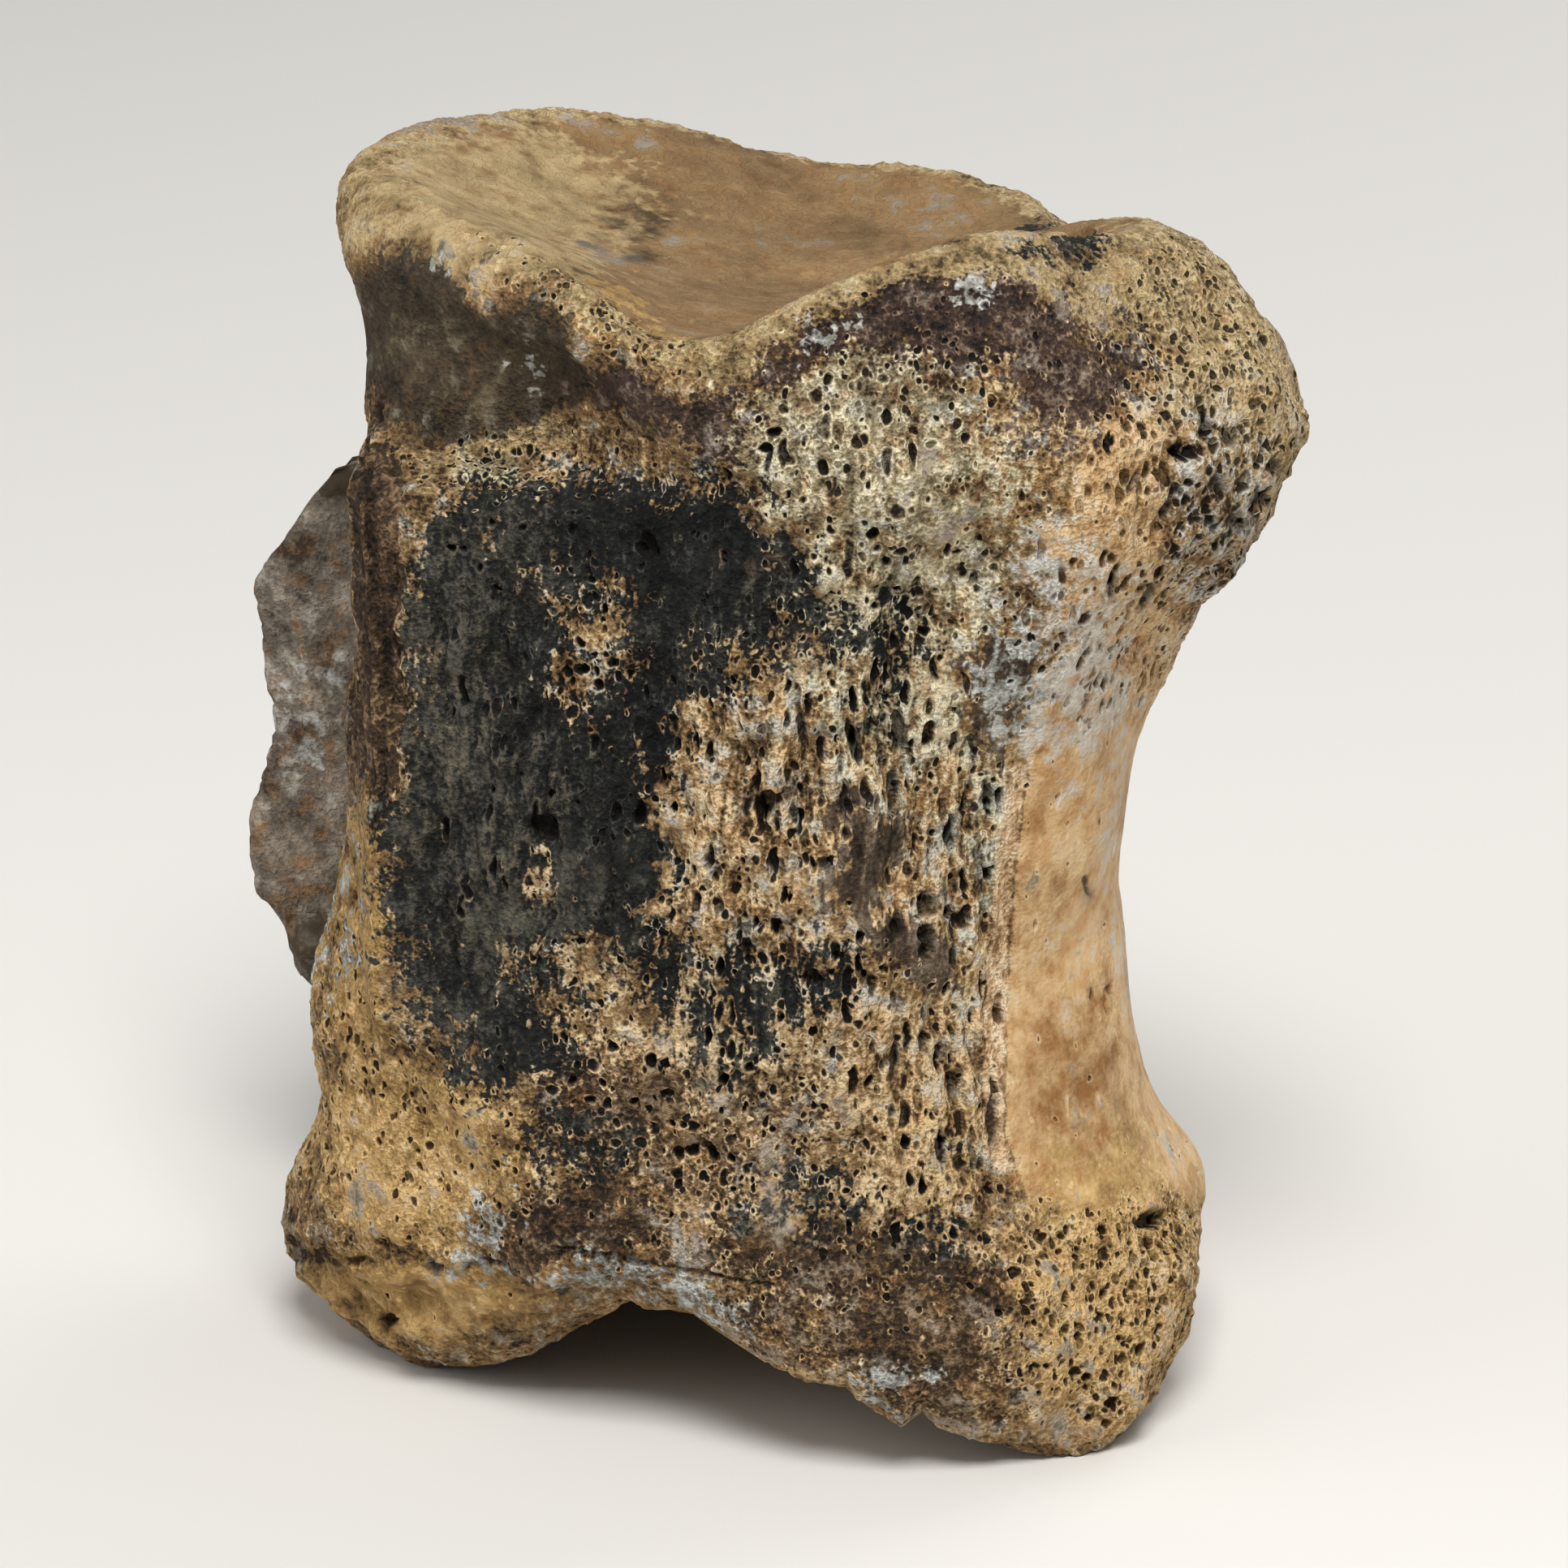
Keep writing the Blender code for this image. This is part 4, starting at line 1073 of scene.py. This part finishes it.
def grid_faces(count_rows, count_columns):
    """Corner indices of all faces: each quad takes the next column and the next row."""
    column = np.arange(count_columns)
    after = (column + 1) % count_columns
    base = 1 + np.arange(count_rows - 3)[:, None] * count_columns
    quads = np.stack([base + column, base + after, base + count_columns + after,
                      base + count_columns + column], -1).reshape(-1, 4)
    top_row = 1 + (count_rows - 3) * count_columns
    last = 1 + (count_rows - 2) * count_columns
    floor_fan = np.stack([np.zeros_like(column), 1 + after, 1 + column], -1)
    ceiling_fan = np.stack([np.full_like(column, last), top_row + column, top_row + after], -1)
    return quads, np.concatenate([floor_fan, ceiling_fan])


def unrolled(values):
    """Grid values in vertex order: one for either pole, all columns for the rows between."""
    inner = values[1:-1].reshape(-1, *values.shape[2:])
    return np.concatenate([values[:1, 0], inner, values[-1:, 0]]).astype(np.float32)


def filled(data, quads, triangles, places):
    """Puts vertices, quads and triangles into a mesh, all as arrays."""
    data.vertices.add(len(places))
    data.vertices.foreach_set("co", places.ravel())
    data.loops.add(quads.size + triangles.size)
    data.loops.foreach_set("vertex_index", np.concatenate([quads.ravel(), triangles.ravel()]))
    data.polygons.add(len(quads) + len(triangles))
    starts = np.concatenate([
        np.arange(len(quads)) * 4, quads.size + np.arange(len(triangles)) * 3,
    ])
    data.polygons.foreach_set("loop_start", starts)
    data.update(calc_edges=True)


def stored(data, name, kind, values):
    """Stores one value a vertex as an attribute."""
    layer = data.attributes.new(name, kind, "POINT")
    layer.data.foreach_set("vector" if kind == "FLOAT_VECTOR" else "value", values.ravel())


dense = bpy.data.meshes.new("dense")
filled(dense, *grid_faces(*form.shape[:2]), unrolled(relief) * MM)
stored(dense, "rest", "FLOAT_VECTOR", unrolled(form))
turn = np.broadcast_to(np.arange(COLUMNS) * 2 * np.pi / COLUMNS, form.shape[:2])
height = np.broadcast_to(np.linspace(0, 1, ROWS)[:, None], form.shape[:2])
unroll = np.stack([np.cos(turn), np.sin(turn), height], -1)
stored(dense, "unroll", "FLOAT_VECTOR", unrolled(unroll))
dressing = {**share, **pores, "streaky": streaky, "open_bone": open_bone, "gaps": gaps,
            "swell": swell, "crumbly": crumbly, "shade": shade, "patchy": patchy}
for name, amount in dressing.items():
    stored(dense, name, "FLOAT", unrolled(amount))
shape = bpy.data.objects.new("dense", dense)
bpy.context.scene.collection.objects.link(shape)
full = 2 * (ROWS - 3) * COLUMNS + 2 * COLUMNS
thin_out = shape.modifiers.new("thin out", "DECIMATE")
thin_out.ratio = min(1.0, MOST_TRIANGLES / full)
thin_out.use_collapse_triangulate = True
ready = shape.evaluated_get(bpy.context.evaluated_depsgraph_get())
skin = bpy.data.meshes.new_from_object(ready)
skin.name = "fossil_vertebra"
bpy.data.objects.remove(shape)
bpy.data.meshes.remove(dense)
print(full, "triangles thinned to", len(skin.polygons))

# %% [markdown]
# ## A flat map of the skin
# When the material is baked for other programs it needs a map without overlaps. The grid
# is such a map already: columns across, rows up, with the most room for the near side. The
# column was stored as a cosine and a sine, because an angle can't be averaged over the
# seam. A face that crosses the seam has its low corners moved round by one turn, and a
# pole takes the column of the corners beside it. Only a few faces beside a pole still lie
# outside the map.

# %% Map
MAP_WIDTH = 0.99  # what faces over the seam stick out by is left free
POLE = 0.02  # a cosine and sine shorter than this are at a pole

count = len(skin.vertices)
stored_place = np.empty(count * 3, np.float32)
skin.attributes["unroll"].data.foreach_get("vector", stored_place)
cosine, sine, height = stored_place.reshape(-1, 3).T
vertex_turn = np.mod(np.arctan2(sine, cosine) / (2 * np.pi), 1)
corners = np.empty(len(skin.loops), np.int32)
skin.loops.foreach_get("vertex_index", corners)
corner_turn = vertex_turn[corners].reshape(-1, 3)
at_pole = (np.hypot(cosine, sine) < POLE)[corners].reshape(-1, 3)
lone = np.where(at_pole, np.nan, corner_turn)
over_seam = np.nanmax(lone, 1) - np.nanmin(lone, 1) > 0.5
lone = lone + ((lone < 0.5) & over_seam[:, None])
corner_turn = np.where(at_pole, np.nanmean(lone, 1)[:, None], lone)
flat_map = np.stack([corner_turn * MAP_WIDTH, height[corners].reshape(-1, 3)], -1)
layer = skin.uv_layers.new(name="OFBake")
layer.data.foreach_set("uv", flat_map.astype(np.float32).ravel())
skin.attributes.remove(skin.attributes["unroll"])
side_one = flat_map[:, 1] - flat_map[:, 0]
side_two = flat_map[:, 2] - flat_map[:, 0]
turned = (side_one[:, 0] * side_two[:, 1] - side_one[:, 1] * side_two[:, 0]) < 0
print("map from", flat_map.min((0, 1)).round(3), "to", flat_map.max((0, 1)).round(3),
      "faces turned over:", int(turned.sum()))

# %% [markdown]
# ## The stone that was bone
# Fossil bone is bone mineral with its pores filled or coated by silica, calcite and iron
# oxides. It is dull and granular, so the shader is rough and hardly shiny. Its tone comes
# first: a number that is low in pores and cracks and high on rims and struts. Each finish
# then has a colour ramp over that tone, from the dirt in its hollows to its worn crests,
# and the finishes are laid over each other by their shares. Where the tone is low in pores
# and cracks the hollow colour is painted shade, and on pore rims the crest colour is a
# painted highlight.
#
# The pores are read at the rest place, so that they lie where the relief has them. The
# finer noises are read at the skin's own place. A steep pore wall crosses little of the
# rest place, and a fine pattern read there would be drawn out down the wall like hair.

# %% Places and patterns
EASED = {"interpolation_type": "SMOOTHSTEP"}


def linear(code):
    """An sRGB hex code as linear red, green and blue, with an alpha of one."""
    parts = [int(code[start : start + 2], 16) / 255 for start in (0, 2, 4)]
    return (*[p / 12.92 if p <= 0.04045 else ((p + 0.055) / 1.055) ** 2.4 for p in parts], 1.0)


stone = bpy.data.materials.new("silicified_bone")
stone.use_nodes = True
tree = stone.node_tree
shader = tree.nodes["Principled BSDF"]
rest = add(tree, "ShaderNodeAttribute", {"attribute_name": "rest"}).outputs["Vector"]
moved = wobbled(tree, rest)
wobble = add(tree, "ShaderNodeVectorMath", {"operation": "SUBTRACT"}, {0: moved, 1: rest})
own_place = add(tree, "ShaderNodeTexCoord").outputs["Object"]
here = add(tree, "ShaderNodeVectorMath", {"operation": "SCALE"}, {0: own_place, "Scale": 1 / MM})
here = here.outputs[0]
shifted = add(tree, "ShaderNodeVectorMath", {"operation": "ADD"},
              {0: here, 1: wobble.outputs[0]}).outputs[0]


def noise(length, detail, roughness, where=here):
    """Noise with features of a length in mm."""
    return add(tree, "ShaderNodeTexNoise", None,
               {"Vector": where, "Scale": 1 / length, "Detail": detail,
                "Roughness": roughness}).outputs[0]


def amount_of(name):
    """A stored share or amount, from 0 to 1."""
    return add(tree, "ShaderNodeAttribute", {"attribute_name": name}).outputs["Fac"]


def swayed(pattern, amount):
    """How far a pattern is off its middle, times an amount."""
    off_middle = add(tree, "ShaderNodeMath", {"operation": "SUBTRACT"}, {0: pattern, 1: 0.5})
    return add(tree, "ShaderNodeMath", {"operation": "MULTIPLY"},
               {0: off_middle.outputs[0], 1: amount}).outputs[0]


def drawn_out(stretch):
    """The wobbled place, with the pattern drawn out along the bone."""
    return add(tree, "ShaderNodeVectorMath", {"operation": "MULTIPLY"},
               {0: shifted, 1: (1.0, 1.0, 1 / stretch)}).outputs[0]


def largest(sockets):
    """The largest of several values."""
    first, *others = sockets
    for other in others:
        first = add(tree, "ShaderNodeMath", {"operation": "MAXIMUM"},
                    {0: first, 1: other}).outputs[0]
    return first


def weighed(parts, start):
    """A start plus each value times its weight."""
    total = start
    for value, weight in parts:
        total = add(tree, "ShaderNodeMath", {"operation": "MULTIPLY_ADD"},
                    {0: value, 1: weight, 2: total}).outputs[0]
    return total


print(stone.name, "reads its place in mm")

# %% [markdown]
# ## Pores in the colour
# The mesh has only a few vertices to a fine pore, too few for a crisp edge. The material
# works the same pores out again at every pixel: the hole of each, how deep that is, and the
# bright rim round it. Hole and depth darken it as painted shade, and the rim is a painted
# highlight.

# %% Holes, depths and rims
# the bright rim round each pore is a painted highlight
RIM_WIDTH = 0.13  # mm, of a pore's bright rim


def pores_of(name):
    """Hole, depth and rim of one kind of pore: eased steps over the gap between the
    distance to the cell's centre and its radius, as in the relief."""
    small, large = CELLS[name]["radii"]
    distance, size, order, fill = cells(tree, moved, CELLS[name])
    ahead = add(tree, "ShaderNodeMath", {"operation": "MULTIPLY_ADD"},
                {0: order, 1: -1 / OPENING, 2: 0.0}).outputs[0]
    opened = add(tree, "ShaderNodeMath", {"operation": "MULTIPLY_ADD", "use_clamp": True},
                 {0: amount_of(name), 1: 1 + 1 / OPENING, 2: ahead}).outputs[0]
    radius = add(tree, "ShaderNodeMath", {"operation": "MULTIPLY_ADD"},
                 {0: size, 1: large - small, 2: small}).outputs[0]
    radius = add(tree, "ShaderNodeMath", {"operation": "MULTIPLY"}, {0: radius, 1: opened})
    gap = add(tree, "ShaderNodeMath", {"operation": "SUBTRACT"},
              {0: distance, 1: radius.outputs[0]}).outputs[0]
    present = add(tree, "ShaderNodeMath", {"operation": "MULTIPLY", "use_clamp": True},
                  {0: opened, 1: 4.0}).outputs[0]
    hole = add(tree, "ShaderNodeMapRange", EASED,
               {"Value": gap, "From Min": PORE_LIP, "From Max": -PORE_WALL,
                "To Max": present}).outputs[0]
    rim = add(tree, "ShaderNodeMapRange", EASED,
              {"Value": gap, "From Min": PORE_LIP + RIM_WIDTH / CELLS[name]["across"],
               "From Max": 0.0, "To Max": present}).outputs[0]
    deep = add(tree, "ShaderNodeMapRange", EASED,
               {"Value": fill, "From Min": DEEP_FROM[0], "From Max": DEEP_FROM[1],
                "To Min": SHALLOW}).outputs[0]
    sunk = add(tree, "ShaderNodeMath", {"operation": "MULTIPLY"}, {0: hole, 1: deep}).outputs[0]
    return hole, sunk, rim


layers = [pores_of(name) for name in CELLS]
holes, sunk, rim_highlights = [largest(kind) for kind in zip(*layers)]
print(len(layers), "layers of pores")

# %% [markdown]
# ## The tone
# Grain, speck and mottle are round noises of growing size, and streaks are drawn out along
# the bone. Struts are the thin lines where the speck noise passes its middle. Smooth bone
# is calm: lively keeps only a fifth of the fine noise there. The tone is their weighed sum,
# and with it go the rims, which are a painted highlight, the holes, which are painted
# shade, what swells out of the relief, and the shade, which is wear and dirt with painted
# light and shade in places.

# %% Tone
SPECK_LENGTH, GRAIN_LENGTH, MOTTLE_LENGTH, STREAK_LENGTH = 0.75, 0.3, 1.7, 0.42  # mm
LONG_SPECK = 0.8 * SPECK_LENGTH
STREAK_STRETCH, SPECK_STRETCH = 6.0, 2.6
SWELL_WEIGHT = 0.6  # brighter on what stands out, a unit of tone a mm
CALM = 0.2  # how much of the fine pattern smooth bone keeps
STRUT_WIDTH = 0.05  # how far the speck noise is from its middle at a strut's edge
MIDDLE_TONE = 0.455
grain = noise(GRAIN_LENGTH, 1.0, 0.6)
mottle = noise(MOTTLE_LENGTH, 2.0, 0.6)
speck = add(tree, "ShaderNodeMix", {"data_type": "FLOAT"}, {
    0: amount_of("streaky"), 2: noise(SPECK_LENGTH, 2.0, 0.6, shifted),
    3: noise(LONG_SPECK, 2.0, 0.6, drawn_out(SPECK_STRETCH)),
}).outputs[0]
streaks = swayed(noise(STREAK_LENGTH, 1.0, 0.5, drawn_out(STREAK_STRETCH)), amount_of("streaky"))
lively = weighed(((amount_of("crumbly"), 1 - CALM),), CALM)
streaks = add(tree, "ShaderNodeMath", {"operation": "MULTIPLY"}, {0: streaks, 1: lively}).outputs[0]
off_ridge = add(tree, "ShaderNodeMath", {"operation": "SUBTRACT"}, {0: speck, 1: 0.5}).outputs[0]
off_ridge = add(tree, "ShaderNodeMath", {"operation": "ABSOLUTE"}, {0: off_ridge}).outputs[0]
struts = add(tree, "ShaderNodeMapRange", EASED,
             {"Value": off_ridge, "From Min": STRUT_WIDTH, "From Max": 0.0,
              "To Max": amount_of("open_bone")}).outputs[0]
crumbs = swayed(grain, amount_of("crumbly"))
mottles = swayed(mottle, amount_of("patchy"))
fine = weighed(((grain, 0.45), (speck, 1.0)), -0.725)
fine = add(tree, "ShaderNodeMath", {"operation": "MULTIPLY"}, {0: fine, 1: lively}).outputs[0]
# rims lighten the tone as a painted highlight; holes and sunk darken it as painted shade
tone = weighed(
    ((fine, 0.9), (mottles, 0.85), (struts, 0.08), (crumbs, 0.55), (streaks, 1.4), (rim_highlights, 0.32),
     (holes, -0.42), (sunk, -0.5), (amount_of("swell"), SWELL_WEIGHT), (amount_of("shade"), 1.0)),
    MIDDLE_TONE,
)
print(len(tree.nodes), "nodes make the tone")

# %% [markdown]
# ## Finishes
# Each finish is named for what stained that part, or for where it lies. Its three colours
# are the ones in its hollows, over most of it and on its crests. Spread and islands say how
# far fine and coarse noise break up its edge, and below nought the noise is turned over.
# Sinks says how much it keeps to the hollows: the charcoal manganese stain sits low between
# tan struts, while the chalky crust sits on top. Blur is half the width of its edge, and the
# last number is the most that it covers of what lies under it. Groove, under the upper rim,
# is a dark stain and painted shade together.

# %% Finishes, from the ground up
FINISHES = {  # hollow, body and crest colour; spread, islands, sinks; blur; most it covers
    "ground": (("2a1e12", "8d714b", "dcc298"), (0.0, 0.0, 0.0), 0.1, 1.0),
    "cortex": (("8a663c", "c6a374", "dcc197"), (0.6, 0.4, 0.0), 0.1, 1.0),
    "bowl": (("46351d", "806644", "a78a60"), (1.2, 0.8, 0.0), 0.2, 1.0),
    "ochre": (("4a3318", "a3834f", "d9b67f"), (2.0, 1.4, 0.0), 0.2, 1.0),
    "olive": (("54452b", "a18a62", "cdb588"), (1.6, 1.0, 0.0), 0.2, 1.0),
    "umber": (("140c07", "413121", "8b7152"), (2.0, 2.0, 0.9), 0.15, 1.0),
    "cream": (("2c2317", "8f8162", "e6d9b6"), (2.2, 2.0, -0.2), 0.15, 1.0),
    "slate": (("352f28", "70665a", "aa9a86"), (1.6, 1.2, 0.0), 0.2, 1.0),
    # groove: dark stain and painted shade under the upper rim
    "groove": (("1a150e", "423728", "6f634a"), (1.6, 0.8, 0.2), 0.15, 1.0),
    "lip": (("120c08", "3f2f26", "86705c"), (2.2, 1.8, 1.0), 0.15, 1.0),
    "film": (("2a2a28", "74726a", "b8b6ad"), (1.4, 3.0, 0.0), 0.25, 0.7),
    "rust": (("33200e", "85623b", "cfa269"), (1.4, -3.0, 0.0), 0.25, 0.5),
    "charcoal": (("020202", "1b1c19", "4c4a41"), (2.4, 2.6, 1.2), 0.18, 1.0),
    "silt": (("0d0c08", "2f2b22", "6b624e"), (2.4, -2.8, -0.6), 0.25, 0.5),
    "matrix": (("16100a", "43372b", "7b6a57"), (3.0, 1.2, 0.7), 0.12, 0.92),
    # shell: pale cortex edge and a painted highlight along it
    "shell": (("8a6a45", "cba880", "e8cda8"), (1.0, 0.8, 0.0), 0.2, 0.8),
    "blue_grey": (("5f5a52", "a3a19c", "cdcdc9"), (2.8, 1.8, -0.6), 0.42, 0.66),
    "orange": (("8f5c2c", "b4834e", "cda374"), (0.9, -3.0, 0.0), 0.4, 0.5),
    "crust": (("32302c", "85837a", "cdccc4"), (2.6, 1.8, -0.5), 0.13, 1.0),
}
PRESENT = 5.0  # below a share of one over this, a finish fades out whatever the noise
RAMP_AT = (0.12, 0.5, 0.88)


def ramped(codes):
    """The three colours of a finish over the tone."""
    ramp = add(tree, "ShaderNodeValToRGB", None, {"Fac": tone})
    stops = ramp.color_ramp.elements
    stops.new(RAMP_AT[1])
    for stop, at, code in zip(stops, RAMP_AT, codes):
        stop.position = at
        stop.color = linear(code)
    return ramp.outputs["Color"]


colour = None
for name, (codes, (spread, islands, sinks), blur, most) in FINISHES.items():
    own = ramped(codes)
    if colour is None:
        colour = own
        continue
    level = weighed(((speck, spread), (mottle, islands), (tone, -sinks)),
                    0.5 * (sinks - spread - islands))
    amount = amount_of(name)
    level = add(tree, "ShaderNodeMath", {"operation": "ADD"}, {0: amount, 1: level})
    present = add(tree, "ShaderNodeMath", {"operation": "MULTIPLY", "use_clamp": True},
                  {0: amount, 1: PRESENT})
    cover = add(tree, "ShaderNodeMapRange", EASED,
                {"Value": level.outputs[0], "From Min": 0.5 - blur, "From Max": 0.5 + blur,
                 "To Max": present.outputs[0]})
    if most < 1:
        cover = add(tree, "ShaderNodeMath", {"operation": "MULTIPLY"},
                    {0: cover.outputs[0], 1: most})
    colour = add(tree, "ShaderNodeMix", {"data_type": "RGBA"},
                 {0: cover.outputs[0], 6: colour, 7: own}).outputs[2]
print(len(FINISHES), "finishes,", len(tree.nodes), "nodes")

# %% [markdown]
# ## Pores, grit and dullness
# Deep pores and open cracks go darker whatever surrounds them: a near black is mixed in
# there as painted shade. Bump adds the grit and the crisp pore edges that are finer than
# the mesh. Roughness stays high. It is lower on the dense cortex, which still has some of
# the polish of bone.

# %% Shader
# painted shade: a near black mixed into deep pores and into open vessels and cracks
PORE_SHADE_BLACK = "0e0a06"
PORE_SHADE_SHARE, GAP_SHADE_SHARE = 0.58, 0.85  # shares of that black in the deepest of them
BUMP_HEIGHT, BUMP_STRENGTH = 0.45, 0.9  # mm, share
DULL, POLISHED = 0.86, 0.6
SHEEN = 0.25
pore_and_gap_shade = add(tree, "ShaderNodeMath", {"operation": "MULTIPLY"}, {0: sunk, 1: PORE_SHADE_SHARE})
pore_and_gap_shade = add(tree, "ShaderNodeMath", {"operation": "MULTIPLY_ADD", "use_clamp": True},
           {0: amount_of("gaps"), 1: GAP_SHADE_SHARE, 2: pore_and_gap_shade.outputs[0]}).outputs[0]
colour = add(tree, "ShaderNodeMix", {"data_type": "RGBA"},
             {0: pore_and_gap_shade, 6: colour, 7: linear(PORE_SHADE_BLACK)}).outputs[2]
surface = weighed(((crumbs, 0.8), (fine, 0.8), (struts, 0.15), (holes, -0.5), (sunk, -0.8)), 0.0)
bump = add(tree, "ShaderNodeBump", None,
           {"Height": surface, "Distance": BUMP_HEIGHT * MM, "Strength": BUMP_STRENGTH})
roughness = add(tree, "ShaderNodeMapRange", None,
                {"Value": amount_of("cortex"), "To Min": DULL, "To Max": POLISHED})
tree.links.new(colour, shader.inputs["Base Color"])
tree.links.new(bump.outputs[0], shader.inputs["Normal"])
tree.links.new(roughness.outputs[0], shader.inputs["Roughness"])
shader.inputs["Specular IOR Level"].default_value = SHEEN
shader.inputs["Metallic"].default_value = 0.0

# %% [markdown]
# ## Dressing the solid
# The skin is one object, because bone grows as one piece. It takes the place of the packed
# solid, which is hidden, gets the stone as its one material and rides on the only body that there is.

# %% Dress the vertebra
skin.materials.clear()
skin.materials.append(stone)
skin.shade_smooth()
fossil = bpy.data.objects.new("fossil_vertebra", skin)
bpy.context.scene.collection.objects.link(fossil)
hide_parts(NODE)
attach(fossil, "root")
print("the fossil has", len(skin.polygons), "triangles")

# %% [markdown]
# ## Floor and light
# A plain pale floor and soft studio light. The brightest lamp stands above on the right and
# rakes over the pores, a weaker and wider one lights the left, and a third one the back. A
# pale surround fills the rest.

# %% Studio
FLOOR_HALF = 1.5  # m
PAPER, PAPER_DULL = "dcd9d3", 0.9
SURROUND, SURROUND_LIGHT = "e9ebee", 0.34
floor_data = bpy.data.meshes.new("floor")
floor_data.from_pydata(
    [(-FLOOR_HALF, -FLOOR_HALF, 0), (FLOOR_HALF, -FLOOR_HALF, 0),
     (FLOOR_HALF, FLOOR_HALF, 0), (-FLOOR_HALF, FLOOR_HALF, 0)], [], [(0, 1, 2, 3)]
)
floor = bpy.data.objects.new("floor", floor_data)
bpy.context.scene.collection.objects.link(floor)
paper = bpy.data.materials.new("pale_paper")
paper.use_nodes = True
paper_shader = paper.node_tree.nodes["Principled BSDF"]
paper_shader.inputs["Base Color"].default_value = linear(PAPER)
paper_shader.inputs["Roughness"].default_value = PAPER_DULL
floor_data.materials.append(paper)

LAMPS = (  # name, place in m, side in m, watts
    ("key", (0.14, -0.40, 0.68), 0.30, 6.0),
    ("fill", (-0.60, -0.35, 0.35), 0.60, 1.7),
    ("back", (0.25, 0.60, 0.50), 0.50, 2.0),
)
for name, at, side, watts in LAMPS:
    lamp_data = bpy.data.lights.new(name, "AREA")
    lamp_data.shape = "SQUARE"
    lamp_data.size = side
    lamp_data.energy = watts
    lamp = bpy.data.objects.new(name, lamp_data)
    bpy.context.scene.collection.objects.link(lamp)
    lamp.location = at
    way = np.array(at) - AIM * MM
    lamp.rotation_euler = (
        math.acos(way[2] / np.linalg.norm(way)), 0, math.atan2(way[1], way[0]) + math.pi / 2,
    )
world = bpy.data.worlds.new("surround")
bpy.context.scene.world = world
world.use_nodes = True
background = world.node_tree.nodes["Background"]
background.inputs["Color"].default_value = linear(SURROUND)
background.inputs["Strength"].default_value = SURROUND_LIGHT
bpy.context.scene.view_settings.view_transform = "Standard"
